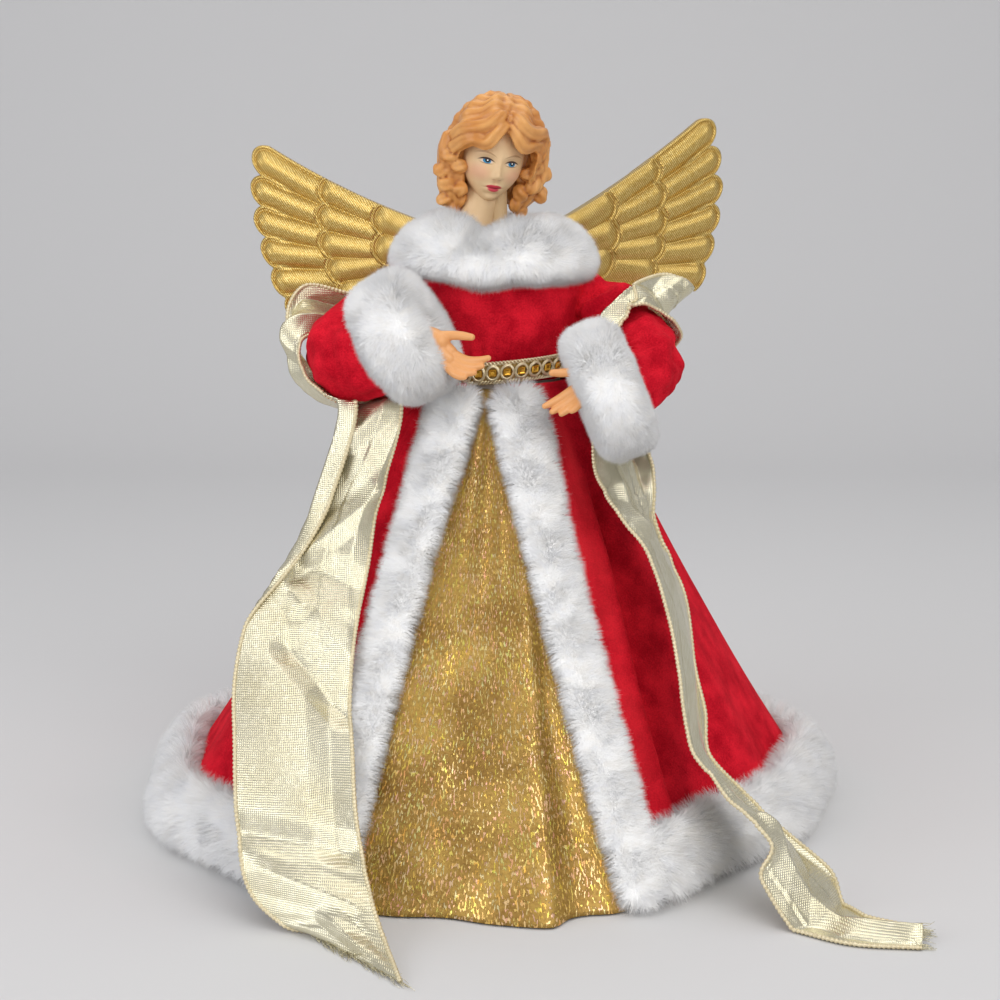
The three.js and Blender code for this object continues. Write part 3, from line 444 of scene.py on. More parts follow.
def skirt_radius(angle, z):
    turn = np.arctan2(np.sin(angle), np.cos(angle))
    push = FRONT_PUSH * np.exp(-((turn / np.where(turn > 0, 0.58, 0.8)) ** 2))
    tucked = 8 * np.exp(-(((turn - 0.85) / 0.35) ** 2))
    spread = 8 * np.maximum(0, -np.sin(turn)) ** 2
    folds = 3 * np.cos(9 * turn + 3.8)
    return 26.1 + (SKIRT_FLARE + push + spread + folds - tucked) * fallen(z)


def coat_radius(angle, z):
    return skirt_radius(angle, z) + 2 * CLOTH + 0.3 + 2.2 * fallen(z)


def right_edge(z):
    return np.radians(8 + 12.5 * np.sqrt(fallen(z)))


def left_edge(z):
    return np.radians(-29 + 5 * fallen(z))


# %% Gold skirt
def gold_skirt_points(rows=120, columns=420):
    z = np.linspace(CONE_HEIGHT, 0.5, rows)[:, None]
    angle = np.linspace(-np.pi, np.pi, columns, endpoint=False)[None]
    radius = skirt_radius(angle, z) + CLOTH
    fall = fallen(z)
    across = (angle - 0.115) * 120
    ridge = np.where(across < 0, np.exp(-(across / 17) ** 2), np.exp(-(across / 4) ** 2))
    hollow = np.exp(-((across - 12) / 7) ** 2)
    radius = radius + 8 * ease(fall, 0.2, 0.95) * ridge - 3.5 * ease(fall, 0.3, 1) * hollow
    gathers = np.cos(46 * angle + 1.3 * np.sin(7 * angle)) * 0.35
    gathers = gathers * ease(fall, 0.02, 0.1) * (1 - ease(fall, 0.15, 0.8))
    points = around(angle, radius + gathers, z * 0.2)
    limp = wander(points, 34, 5) * 1.1 + wander(points, 15, 6) * 0.4
    return around(angle, radius + gathers + limp * ease(fall, 0.1, 0.7), z)


gold_points = gold_skirt_points()


def gold_brocade():
    material, tree, shader = new_finish("gold_brocade", (0.4, 0.22, 0.05), 0.42, 0.55)
    place = place_of(tree)
    parts = add_node(tree, "ShaderNodeSeparateXYZ", Vector=place)
    turn = calculate(tree, "ARCTAN2", parts.outputs["X"], calculate(tree, "MULTIPLY", parts.outputs["Y"],
                                                                    -1.0))
    dash_place = add_node(tree, "ShaderNodeCombineXYZ", X=calculate(tree, "MULTIPLY", turn, 185.0),
                          Y=calculate(tree, "MULTIPLY", parts.outputs["Z"], 560.0)).outputs["Vector"]
    dashes = add_node(tree, "ShaderNodeTexNoise", {"noise_dimensions": "2D"}, Vector=dash_place, Scale=1.0,
                      Detail=1.0)
    tints = add_node(tree, "ShaderNodeTexVoronoi", {"voronoi_dimensions": "2D"}, Vector=dash_place,
                     Scale=0.55)
    patches = add_node(tree, "ShaderNodeTexNoise", Vector=place, Scale=42.0, Detail=2.0)
    nap = use_group(tree, NAP, Place=place, Dark=(0.25, 0.13, 0.022, 1), Light=(0.52, 0.325, 0.075, 1),
                    Patch=45.0, Grain=700.0)
    sparkle = calculate(tree, "MULTIPLY_ADD", patches.outputs["Fac"], 0.22, dashes.outputs["Fac"])
    glint = blend_range(tree, sparkle, 0.65, 0.71)
    thread_colour = colour_mix(tree, 0.75, tints.outputs["Color"], (1.0, 0.62, 0.12))
    colour = colour_mix(tree, glint, nap["Color"], thread_colour)
    tree.links.new(colour, shader.inputs["Base Color"])
    rough = calculate(tree, "MULTIPLY_ADD", glint, -0.22, 0.46)
    tree.links.new(rough, shader.inputs["Roughness"])
    height = calculate(tree, "MULTIPLY_ADD", glint, 1.2, nap["Height"])
    bump(tree, shader, height, 0.0004, 0.8)
    return material


GOLD = gold_brocade()
gold_skirt = make_object("gold_underskirt_cloth", gold_points,
                         [grid_faces(*gold_points.shape[:2], ring=True)])
solidify(gold_skirt, 0.8)
finish_piece(gold_skirt, GOLD, "dress", ["gold_underskirt"])


# %% Red coat
def coat_points(rows=130, columns=520):
    z = np.linspace(184.5, 5, rows)[:, None]
    share = np.linspace(0, 1, columns)[None]
    angle = mix(right_edge(z), left_edge(z) + 2 * np.pi, share)
    fall = fallen(z)
    radius = coat_radius(angle, z)
    from_edge = (angle - right_edge(z)) * np.maximum(radius, 40)
    past = from_edge - 24
    beyond = np.where(past < 4, 1 - 1.5 * ease(past, 0, 4), -0.5 * np.exp((4 - past) / 10))
    pleat = np.where(past < 0, np.exp(past / 9), beyond)
    radius = radius + ease(fall, 0.12, 0.4) * 5.5 * pleat
    sides = ease(np.abs(np.arctan2(np.sin(angle), np.cos(angle))), 0.7, 1.3)
    radius = radius + 6 * sides * ease(fall, 0.0, 0.07) * (1 - ease(fall, 0.1, 0.5))
    swags = wander(around(angle, 90, z * 0.35), 40, 11) * 1.1
    swags = swags + wander(around(angle, 60, z * 0.2), 18, 12) * 0.6
    gathers = np.cos(44 * angle + 4 * np.sin(5 * angle) + 3 * np.sin(11 * angle)) * 0.35
    gathers = gathers * (1 - ease(fall, 0.05, 0.5)) * ease(fall, 0, 0.05)
    # Painted highlight: an uneven mask for a lighter strip of velvet along the right front edge, fading
    # toward the hem, where the cloth faces the lamps.
    uneven = 0.42 + 0.16 * wander(around(angle, 90, z * 0.5), 14, 17)
    painted_highlight_strip = np.clip(uneven, 0, 1) * (1 - ease(past, -4, 2.5)) * (1 - 0.6 * ease(fall, 0.4, 0.9))
    return around(angle, radius + (0.9 + swags) * ease(fall, 0.05, 0.5) + gathers, z), painted_highlight_strip


red_points, painted_highlight_strip = coat_points()
red_coat = make_object("red_overskirt_cloth", red_points, [grid_faces(*red_points.shape[:2])])
# Kept for the velvet to read: the mask of the painted highlight strip beside the right front edge.
keep_values(red_coat, "painted_highlight_strip", "FLOAT", "value", painted_highlight_strip)
solidify(red_coat, 1.1)
finish_piece(red_coat, VELVET, "dress", ["red_overskirt"])


# %% [markdown]
# ## Fur
# Plush fur is a knitted backing with a dense pile standing up from it. The backing is a closed roll; the
# pile is a mesh of its own, thousands of narrow tapered strands. Real pile never stands evenly: it sticks
# together in little tufts, so each strand leans toward the middle of its tuft, and the tufts lean down and
# outward. The strands are shaded with the roll's own normals, tilted up a little, which gives the soft,
# even white of fur and not the glitter of single hairs.

# %% A roll and its pile
def roll_rings(centres, downs, outwards, half_long, half_thick, columns=40):
    """Rings of an oval section along a line. The ends draw in, so that the roll closes like a sewn end."""
    along = np.concatenate([[0], np.cumsum(np.linalg.norm(np.diff(centres, axis=0), axis=1))])
    near_end = np.clip(np.minimum(along, along[-1] - along) / (half_long * 0.8), 0, 1)
    shrink = np.sqrt(np.clip(1 - (1 - near_end) ** 2, 0.02, 1))
    turn = np.linspace(0, 2 * np.pi, columns, endpoint=False)
    return (centres[:, None]
            + downs[:, None] * (half_long * shrink)[:, None, None] * np.cos(turn)[None, :, None]
            + outwards[:, None] * (half_thick * shrink)[:, None, None] * np.sin(turn)[None, :, None])


def outward_of(rings, loop=False):
    normals = surface_normals(rings, ring=True, loop=loop)
    middle = rings.mean(axis=1, keepdims=True)
    if np.sum(normals * (rings - middle)) < 0:
        normals = -normals
    return normals


def capped_faces(rings, loop=False):
    rows, columns = rings.shape[:2]
    faces = [grid_faces(rows, columns, ring=True, loop=loop)]
    if not loop:
        first = np.arange(columns)[None, ::-1]
        faces += [first, (rows - 1) * columns + np.arange(columns)[None]]
    return faces


def fur_backing_piece(name, rings, body, node, loop=False):
    normals = outward_of(rings, loop)
    lumps = wander(rings, 16, 21) * 0.9
    lumpy = rings + normals * lumps[..., None]
    made = mesh_piece(name, lumpy, capped_faces(rings, loop), FUR_BACKING, body, "white_fur", [node])


STRAND_WIDTH = 0.3


def grow_pile(name, rings, count, length, comb, lean, body, seed, loop=False, keep=None):
    """Tapered strands all over a roll. Comb gives the way in which the pile lies at each root."""
    draw = np.random.default_rng(seed)
    normals = outward_of(rings, loop)
    rows, columns = rings.shape[:2]
    faces = grid_faces(rows, columns, ring=True, loop=loop)
    flat, flat_normals = rings.reshape(-1, 3), normals.reshape(-1, 3)
    corner = flat[faces]
    area = np.linalg.norm(np.cross(corner[:, 2] - corner[:, 0], corner[:, 3] - corner[:, 1]), axis=1)
    if keep is not None:
        area = area * keep(corner.mean(axis=1), flat_normals[faces].mean(axis=1))
    chosen = draw.choice(len(faces), count, p=area / area.sum())
    s, t = draw.random((2, count, 1))
    weights = [(1 - s) * (1 - t), s * (1 - t), s * t, (1 - s) * t]
    root = sum(w * flat[faces[chosen, i]] for i, w in enumerate(weights))
    normal = unit(sum(w * flat_normals[faces[chosen, i]] for i, w in enumerate(weights)))
    flow = comb(root)
    flow = unit(flow - normal * np.sum(flow * normal, axis=1, keepdims=True) + 1e-9)
    swirl = np.stack([wander(root, 13, seed + i) for i in range(3)], -1)
    tufts = max(8, count // 36)
    tree = kdtree.KDTree(tufts)
    for i in range(tufts):
        tree.insert(root[i], i)
    tree.balance()
    tuft = np.array([tree.find(place)[1] for place in root])
    tall = length * (draw.normal(1, 0.09, (count, 1)) + 0.07 * wander(root, 9, seed + 4)[:, None])
    lying = normal + flow * lean + swirl * 0.16
    way = unit(lying + draw.normal(size=(count, 3)) * 0.3)
    tuft_tip = root[:tufts] + unit(lying[:tufts]) * length
    tip = root + way * tall
    tip += (tuft_tip[tuft] - tip) * draw.uniform(0.0, 0.5, (count, 1))
    tip[:, 2] = np.maximum(tip[:, 2], 0.3)
    side = unit(np.cross(tip - root, draw.normal(size=(count, 3)))) * STRAND_WIDTH / 2
    other = unit(np.cross(tip - root, side)) * STRAND_WIDTH / 2
    sunk = root - normal * 0.4
    behind = sunk - 0.5 * side
    points = np.stack([sunk + side, behind + 0.87 * other, behind - 0.87 * other, tip], axis=1)
    tint = draw.choice(3, tufts, p=[0.5, 0.25, 0.25])[tuft]
    tuft_tilt = draw.normal(size=(tufts, 3))[tuft] * 0.06
    strand_tilt = draw.normal(size=(count, 3)) * 0.2
    soft = unit(normal + [0, 0, 0.22] + way * 0.12 + tuft_tilt + strand_tilt)
    parts = np.array_split(np.argsort(chosen), max(1, math.ceil(count / 62000)))
    for i, part in enumerate(parts):
        base = np.arange(len(part))[:, None, None] * 4
        strand_sides = (base + np.array([[0, 1, 3], [1, 2, 3], [2, 0, 3]])).reshape(-1, 3)
        made = make_object(f"{name}_{i + 1}", points[part], [strand_sides])
        made.data.polygons.foreach_set("material_index", np.repeat(tint[part], 3).astype(np.int32))
        made.data.normals_split_custom_set_from_vertices(np.repeat(soft[part], 4, axis=0))
        made.visible_shadow = False
        finish_piece(made, FUR_WHITES, body)


# %% Hem trim
SKIRT_SLOPE = math.atan2(SKIRT_FLARE, CONE_HEIGHT)
HEM_LONG, HEM_THICK = 16.5, 7.5
PILE_INSET = 4.2


def hem_lines(count=420):
    middle = 0.3 + math.hypot(HEM_LONG * math.cos(SKIRT_SLOPE), HEM_THICK * math.sin(SKIRT_SLOPE)) + 1.0
    start = right_edge(0) + 3 / coat_radius(right_edge(0), 0)
    end = left_edge(0) + 2 * np.pi - 3 / coat_radius(left_edge(0), 0)
    angle = np.linspace(start, end, count)
    out = coat_radius(angle, middle) + 8.2 / math.cos(SKIRT_SLOPE)
    down = around(angle, math.sin(SKIRT_SLOPE), -math.cos(SKIRT_SLOPE))
    outward = around(angle, math.cos(SKIRT_SLOPE), math.sin(SKIRT_SLOPE))
    return around(angle, out, middle), down, outward


hem_centre, hem_down, hem_out = hem_lines()
hem_rings = roll_rings(hem_centre, hem_down, hem_out, HEM_LONG - PILE_INSET, HEM_THICK - PILE_INSET + 1.0)
fur_backing_piece("hem_trim_backing", hem_rings, "dress", "hem_trim")
grow_pile("hem_trim_pile", hem_rings, 190000, 6.6, lambda p: unit(p * [1, 1, 0]) * 0.4 + [0, 0, -1.0], 0.45,
          "dress", 31,
          keep=lambda p, n: np.where((n[:, 2] < -0.4) & (p[:, 2] < 6), 0.15, 1.0))


# %% Front trims
def front_trim_lines(edge, count=150):
    z = np.linspace(182.5, 4.5, count)
    slope = math.atan2(SKIRT_FLARE + FRONT_PUSH, CONE_HEIGHT)
    centre = around(edge(z), coat_radius(edge(z), z) + 5.7 / math.cos(slope), z)
    outward = around(edge(z), math.cos(slope), math.sin(slope))
    return centre, unit(np.cross(unit(np.gradient(centre, axis=0)), outward)), outward


def front_trim(name, edge, seed, toward):
    centre, across, outward = front_trim_lines(edge)
    across = across * np.sign(across[0, 0]) * toward
    narrow = mix(1.25, 1, ease(np.linspace(0, 1, len(centre)), 0.05, 0.35))[:, None, None]
    rings = roll_rings(centre, across, outward, 11 - PILE_INSET, 5 - PILE_INSET + 1.6, columns=32)
    rings = centre[:, None] + (rings - centre[:, None]) * narrow
    fur_backing_piece(name + "_backing", rings, "dress", name)

    def comb(p):
        row = np.clip(np.searchsorted(-centre[:, 2], -p[:, 2]), 0, len(centre) - 1)
        away = np.sum((p - centre[row]) * across[row], axis=1, keepdims=True) / 6
        return across[row] * away + [0, 0, -0.6]

    grow_pile(name + "_pile", rings, 75000, 6.0, comb, 0.4, "dress", seed)


front_trim("left_front_trim", left_edge, 41, -1)
front_trim("right_front_trim", right_edge, 42, 1)

# %% Collar
COLLAR = np.array([-2.5, -6, 239.2])


def collar_rings(grow, columns=44, count=120):
    turn = np.linspace(0, 2 * np.pi, count, endpoint=False)
    outward = np.stack([np.sin(turn), -0.9 * np.cos(turn), 0 * turn], -1)
    slope = math.radians(-40)
    along = unit(outward) * math.cos(slope) + np.array([0, 0, math.sin(slope)])
    across = -unit(outward) * math.sin(slope) + np.array([0, 0, math.cos(slope)])
    centre = COLLAR + 29 * outward
    dip = np.exp(-(np.arctan2(np.sin(turn + 0.17), np.cos(turn + 0.17)) / 0.3) ** 2)
    lobe = np.exp(-(np.arctan2(np.sin(turn + 0.95), np.cos(turn + 0.95)) / 0.5) ** 2)
    centre = centre + np.stack([0 * dip, 0.8 * dip, 2.8 * lobe - 5 * dip], -1)
    section = np.linspace(0, 2 * np.pi, columns, endpoint=False)
    reach = np.where(np.cos(section) > 0, 16.2 - 5.2 * dip[:, None], 16.2) + grow
    return (centre[:, None] + along[:, None] * (reach * np.cos(section))[..., None]
            + across[:, None] * (10.5 + grow) * np.sin(section)[None, :, None])


def fur_flow_down(p):
    return unit((p - COLLAR) * [1, 1, 0]) * 0.8 + [0, 0, -0.8]


collar = collar_rings(-PILE_INSET)
fur_backing_piece("fur_collar_backing", collar, "dress", "fur_collar", loop=True)
grow_pile("fur_collar_pile", collar, 124000, 6.4, fur_flow_down, 0.4, "dress", 51, loop=True)


# %% Cuffs
def cuff_rings(centre, along, wide, deep, columns=72, rows=48):
    """A short fat sleeve of fur, turned in at both ends until it almost closes round the wrist."""
    across = unit(np.cross(along, [0, 0, 1]))
    other = np.cross(across, along)
    turn = np.linspace(0, 2 * np.pi, columns, endpoint=False)
    part = np.linspace(0, 2 * np.pi, rows, endpoint=False)
    radial = wide - 9.2 + 9.2 * np.sign(np.cos(part)) * np.abs(np.cos(part)) ** 0.42
    axial = deep * np.sign(np.sin(part)) * np.abs(np.sin(part)) ** 0.42
    ring = across * np.cos(turn)[:, None] + other * np.sin(turn)[:, None]
    return (centre + axial[:, None, None] * along + radial[:, None, None] * ring[None]).transpose(1, 0, 2)


def fur_cuff(name, centre, along, wide, deep, body, seed):
    rings = cuff_rings(centre, along, wide, deep)
    fur_backing_piece(name + "_backing", rings, body, name, loop=True)

    def off_axis(p):
        beside = p - centre
        return beside - np.sum(beside * along, axis=1, keepdims=True) * along

    def comb(p):
        return unit(off_axis(p)) * 0.3 + [0, 0, -0.5]

    def outside(p, n):
        off = off_axis(p)
        hidden = (np.linalg.norm(off, axis=1) < 9) & (np.sum(n * off, axis=1) < 0)
        return np.where(hidden, 0.1, 1.0)

    grow_pile(name + "_pile", rings, 90000, 6.0, comb, 0.25, body, seed, loop=True, keep=outside)


CUFFS = {"left": (np.array([-38.5, -47, 206]), unit([0.84, -0.20, 0.48])),
         "right": (np.array([43.5, -53, 185]), unit([-0.92, -0.04, -0.36]))}
fur_cuff("left_cuff", *CUFFS["left"], 22.6, 9.8, "left_arm", 61)
fur_cuff("right_cuff", *CUFFS["right"], 24.2, 7.8, "right_arm", 62)


# %% [markdown]
# ## Bodice and sleeves
# The bodice is one piece of velvet pulled round a stuffed body, so it has only a few pulls toward the
# waist. The sleeves are tubes with more cloth than arm: small pleats where they are gathered at the
# shoulder and cuff, a slack puff at the elbow, and short wrinkles on the inside of the bend.

# %% Bodice
TORSO = np.array([[-0.02, 28, 26.5, 0], [0.18, 29.5, 27.5, 0], [0.4, 33.5, 28, -1], [0.58, 35.5, 28.5, -1],
                  [0.75, 32.5, 25, -1], [0.9, 22.5, 18.5, -2], [1, 14.5, 13.5, -3]])


def torso_ring(z, turn, grow=0.0):
    share = (np.asarray(z, float) - 185) / 60
    wide, deep, back = (np.interp(share, TORSO[:, 0], TORSO[:, i]) for i in (1, 2, 3))
    parts = ((wide + grow) * np.sin(turn), back - (deep + grow) * np.cos(turn), z)
    return np.stack(np.broadcast_arrays(*parts), -1)


def bodice_points(rows=70, columns=200):
    z = np.linspace(185.2, 243, rows)[:, None]
    turn = np.linspace(0, 2 * np.pi, columns, endpoint=False)[None]
    base = torso_ring(z, turn, -0.6)
    pulls = np.cos(26 * turn + 3 * np.sin(3 * turn)) * 0.5 * (1 - ease(z, 190, 212))
    slack = wander(base * [1, 1, 2.2], 30, 71) * 0.9
    return torso_ring(z, turn, -0.3 + pulls + slack)


bodice_grid = bodice_points()
bodice = make_object("bodice_cloth", bodice_grid, [grid_faces(*bodice_grid.shape[:2], ring=True)])
solidify(bodice, 1.0)
finish_piece(bodice, VELVET, "dress", ["bodice"])


# %% Sleeves
def path_frames(path):
    """A tangent and two cross ways along a path, turned as little as possible from point to point."""
    ahead = unit(np.gradient(path, axis=0))
    first = unit(np.cross(ahead[0], [0.3, 0.2, 1]))
    across = [first]
    for way in ahead[1:]:
        side = across[-1] - way * np.dot(across[-1], way)
        across.append(unit(side))
    across = np.array(across)
    return ahead, across, np.cross(ahead, across)


def tube(path, radius, columns):
    """Rings round a path. Radius is one number, one for each ring, or one for each point."""
    _, across, other = path_frames(path)
    turn = np.linspace(0, 2 * np.pi, columns, endpoint=False)
    radius = np.broadcast_to(np.asarray(radius, float), (len(path),)) if np.ndim(radius) < 2 else radius
    radius = radius[:, None] if radius.ndim == 1 else radius
    ring = across[:, None] * np.cos(turn)[None, :, None] + other[:, None] * np.sin(turn)[None, :, None]
    return path[:, None] + radius[..., None] * ring


def sleeve(name, stops, radii, body, seed, rows=150, columns=96):
    at = np.linspace(0, len(stops) - 1, rows)
    path = through(stops, at)
    radius = through(np.array(radii, float)[:, None], at)
    turn = np.linspace(0, 2 * np.pi, columns, endpoint=False)[None]
    rings = tube(path, radius[:, 0], columns)
    share = (at / (len(stops) - 1))[:, None]
    pleats = np.abs(np.cos(5.5 * turn + 1.5 * np.sin(2 * turn) + seed)) * 2.2 - 1.1
    gathered = pleats * (np.exp(-(share / 0.22) ** 2) + 0.8 * np.exp(-((share - 1) / 0.14) ** 2))
    elbow = path[int(rows * 0.62)]
    inward = unit(path[[0, -1]].mean(axis=0) - elbow)
    inside = np.clip(np.sum(unit(rings - path[:, None]) * inward, axis=-1), 0, 1)
    wrinkles = np.sin(share * 2 * np.pi * 13 + 2 * np.sin(turn * 2)) * inside
    wrinkles = wrinkles * np.exp(-((share - 0.6) / 0.2) ** 2) * 1.3
    slack = wander(rings * [1, 1, 1.4], 17, seed) * 1.2 + wander(rings, 8, seed + 1) * 0.4
    facing = np.clip(unit(rings - path[:, None]) @ unit([0, -0.6, 0.8]), 0, 1)
    swags = 2.2 * np.cos(2 * np.pi * (share * 4.5 - 0.4 * facing)) * facing
    swags = swags * np.exp(-((share - 0.22) / 0.16) ** 2)
    rings = tube(path, radius + gathered + wrinkles + swags + slack * ease(share, 0, 0.15), columns)
    made = mesh_piece(name + "_cloth", rings, capped_faces(rings), VELVET, body, "red_velvet", [name])
    return path, np.linalg.norm(rings - path[:, None], axis=-1).max(axis=1)


left_sleeve = sleeve("left_sleeve", [(-36, 6, 213), (-46, 0, 211), (-58, -16, 205), (-64, -32, 198),
                                     (-56, -44, 196), (-46, -46, 200)],
                     [13, 14.5, 15, 16, 15.5, 13], "left_arm", 3)
right_sleeve = sleeve("right_sleeve", [(34, 6, 213), (44, 0, 211), (54, -16, 204), (60, -33, 195),
                                       (58, -43, 189), (49, -49, 187)],
                             [13.5, 15, 14, 14, 13.2, 12.5], "right_arm", 4)


# %% [markdown]
# ## Head
# The head is moulded vinyl, pale and matt, with the face painted on. It is sculpted from an egg: a narrower
# jaw, a small nose, full cheeks and lips, shallow sockets. The paint is placed by each point's own place on
# the face, which is kept with the mesh, so the eyes stay where they are when the head turns.

# %% Face shape
HEAD_PLACE = np.array([-3.0, -8.0, 278.0])
HEAD_TURN = np.array((Matrix.Rotation(math.radians(13), 3, "Z") @ Matrix.Rotation(math.radians(10), 3, "X")
                      @ Matrix.Rotation(math.radians(9), 3, "Y")))


def from_head(points):
    return HEAD_PLACE + np.asarray(points, float) @ HEAD_TURN.T


def swell(places, centre, size):
    return np.exp(-np.sum(((places - np.array(centre)) / np.array(size)) ** 2, axis=-1))


# The height, middle and size of each swell that shapes the face.
FACE_SWELLS = [
    (2.6, (0, 0, -6.2), (1.7, 9, 2.0)), (1.3, (0, 0, -2.5), (1.3, 9, 3.6)),
    (0.7, (1.6, 0, -7.0), (1.0, 9, 0.9)), (0.9, (6.8, 0, -6.5), (4.0, 9, 3.6)),
    (-1.1, (5.0, 0, -0.6), (2.8, 9, 1.7)), (0.55, (5.0, 0, -0.9), (2.0, 9, 1.0)),
    (0.5, (5.0, 0, 2.3), (3.5, 9, 1.0)), (1.0, (0, 0, -11.0), (3.0, 9, 0.8)),
    (1.1, (0, 0, -12.8), (2.2, 9, 0.9)), (-0.7, (0, 0, -11.9), (3.4, 9, 0.33)),
    (-0.5, (0, 0, -9.4), (0.7, 9, 0.8)), (-0.7, (0, 0, -14.6), (3.0, 9, 0.9)),
    (1.5, (0, 0, -17.0), (3.2, 9, 1.7)), (0.5, (0, 0, 7), (8, 9, 4)),
]


def face_points(rows=180, columns=240):
    down = np.linspace(0.001, np.pi - 0.001, rows)[:, None]
    turn = np.linspace(0, 2 * np.pi, columns, endpoint=False)[None]
    parts = (np.sin(down) * np.sin(turn), -np.sin(down) * np.cos(turn), np.cos(down))
    way = np.stack(np.broadcast_arrays(*parts), -1)
    places = way * [12.9, 14.6, 19.6]
    low = np.clip(-places[..., 2] / 19.6, 0, 1)
    jaw = 1 - 0.24 * ease(low, 0.25, 1.0)
    nape = 1 - 0.12 * ease(low, 0.3, 1) * (places[..., 1] > 0)
    places = places * np.stack([jaw, nape, np.ones_like(jaw)], -1)
    front = ease(-places[..., 1], 0, 8)
    sides = np.abs(places[..., 0])
    flat = np.stack([sides, 0 * sides, places[..., 2]], -1)
    lift = sum(height * swell(flat, middle, size) for height, middle, size in FACE_SWELLS)
    return places + np.stack([0 * lift, -lift * front, 0 * lift], -1)


# %% Face paint
SPOT, spot_in, spot_out = start_group(
    "painted_spot",
    [("Place", VECTOR, None), ("X", NUMBER, 0.0), ("Z", NUMBER, 0.0), ("Wide", NUMBER, 1.0),
     ("High", NUMBER, 1.0),
     ("Bow", NUMBER, 0.0), ("Tilt", NUMBER, 0.0), ("Soft", NUMBER, 0.15)],
    [("Mask", NUMBER)])
spot_parts = add_node(SPOT, "ShaderNodeSeparateXYZ", Vector=spot_in.outputs["Place"])
spot_x = calculate(SPOT, "SUBTRACT", spot_parts.outputs["X"], spot_in.outputs["X"])
spot_z = calculate(SPOT, "SUBTRACT", spot_parts.outputs["Z"], spot_in.outputs["Z"])
spot_z = calculate(SPOT, "SUBTRACT", spot_z, calculate(SPOT, "MULTIPLY", spot_x, spot_in.outputs["Tilt"]))
spot_bow = calculate(SPOT, "MULTIPLY", calculate(SPOT, "MULTIPLY", spot_x, spot_x), spot_in.outputs["Bow"])
spot_z = calculate(SPOT, "SUBTRACT", spot_z, spot_bow)
spot_u = calculate(SPOT, "DIVIDE", spot_x, spot_in.outputs["Wide"])
spot_v = calculate(SPOT, "DIVIDE", spot_z, spot_in.outputs["High"])
square_u = calculate(SPOT, "MULTIPLY", spot_u, spot_u)
square_v = calculate(SPOT, "MULTIPLY", spot_v, spot_v)
spot_reach = calculate(SPOT, "SQRT", calculate(SPOT, "ADD", square_u, square_v))
spot_edge = calculate(SPOT, "DIVIDE", calculate(SPOT, "SUBTRACT", 1.0, spot_reach), spot_in.outputs["Soft"])
spot_front = calculate(SPOT, "LESS_THAN", spot_parts.outputs["Y"], 0.0)
SPOT.links.new(calculate(SPOT, "MULTIPLY", calculate(SPOT, "ADD", spot_edge, 0.5, clamp=True), spot_front),
               spot_out.inputs["Mask"])


def doll_face():
    material, tree, shader = new_finish("doll_face", (0.75, 0.56, 0.36), 0.42)
    place = add_node(tree, "ShaderNodeAttribute", {"attribute_name": "face_place"}).outputs["Vector"]
    tone = add_node(tree, "ShaderNodeTexNoise", Vector=place, Scale=0.12, Detail=2.0)
    colour = colour_mix(tree, tone.outputs["Fac"], (0.70, 0.485, 0.265), (0.78, 0.565, 0.33))

    def paint(colour, pigment, strength, **spot):
        values = {key: float(value) for key, value in spot.items()}
        mask = use_group(tree, SPOT, Place=place, **values)["Mask"]
        return colour_mix(tree, calculate(tree, "MULTIPLY", mask, strength), colour, pigment)

    for side in (-1, 1):
        colour = paint(colour, (0.72, 0.25, 0.18), 0.36, X=side * 7.4, Z=-6.0, Wide=3.8, High=3.0, Soft=1.0)
        colour = paint(colour, (0.42, 0.24, 0.12), 0.40, X=side * 5.3, Z=0.6, Wide=3.4, High=1.5, Bow=-0.06,
                       Soft=0.9)
        colour = paint(colour, (0.74, 0.66, 0.56), 0.9, X=side * 5.3, Z=-1.0, Wide=2.3, High=0.8, Bow=-0.02,
                       Soft=0.3)
        colour = paint(colour, (0.012, 0.13, 0.30), 1.0, X=side * 5.3 + 0.1, Z=-0.85, Wide=1.6, High=1.1,
                       Soft=0.2)
        colour = paint(colour, (0.03, 0.30, 0.52), 0.9, X=side * 5.3 + 0.1, Z=-1.15, Wide=1.25, High=0.75,
                       Soft=0.6)
        colour = paint(colour, (0.005, 0.005, 0.008), 1.0, X=side * 5.3 + 0.25, Z=-0.7, Wide=0.95, High=0.85,
                       Soft=0.25)
        colour = paint(colour, (0.95, 0.95, 0.95), 1.0, X=side * 5.3 + 0.3, Z=-0.62, Wide=0.3, High=0.28,
                       Soft=0.3)
        colour = paint(colour, (0.05, 0.022, 0.012), 1.0, X=side * 5.4, Z=0.12, Wide=3.1, High=0.42,
                       Bow=-0.09, Soft=0.4)
        colour = paint(colour, (0.24, 0.12, 0.06), 0.7, X=side * 5.3, Z=-2.0, Wide=2.6, High=0.2, Bow=0.05,
                       Soft=0.6)
        colour = paint(colour, (0.34, 0.18, 0.08), 0.6, X=side * 5.9, Z=2.7, Wide=3.9, High=0.36, Bow=-0.075,
                       Tilt=side * 0.05, Soft=0.5)
        colour = paint(colour, (0.45, 0.20, 0.13), 0.5, X=side * 1.2, Z=-7.9, Wide=0.7, High=0.3, Soft=0.8)
        colour = paint(colour, (0.52, 0.03, 0.055), 1.0, X=side * 1.35, Z=-11.15, Wide=1.9, High=0.75,
                       Tilt=-side * 0.12, Soft=0.35)
    colour = paint(colour, (0.62, 0.06, 0.09), 1.0, X=0, Z=-12.55, Wide=2.35, High=0.95, Bow=0.05, Soft=0.35)
    colour = paint(colour, (0.28, 0.02, 0.03), 0.85, X=0, Z=-11.85, Wide=3.1, High=0.2, Bow=0.03, Soft=0.6)
    tree.links.new(colour, shader.inputs["Base Color"])
    shader.inputs["Specular IOR Level"].default_value = 0.35
    bump(tree, shader, tone.outputs["Fac"], 0.0003, 0.15)
    return material


DOLL_FACE = doll_face()


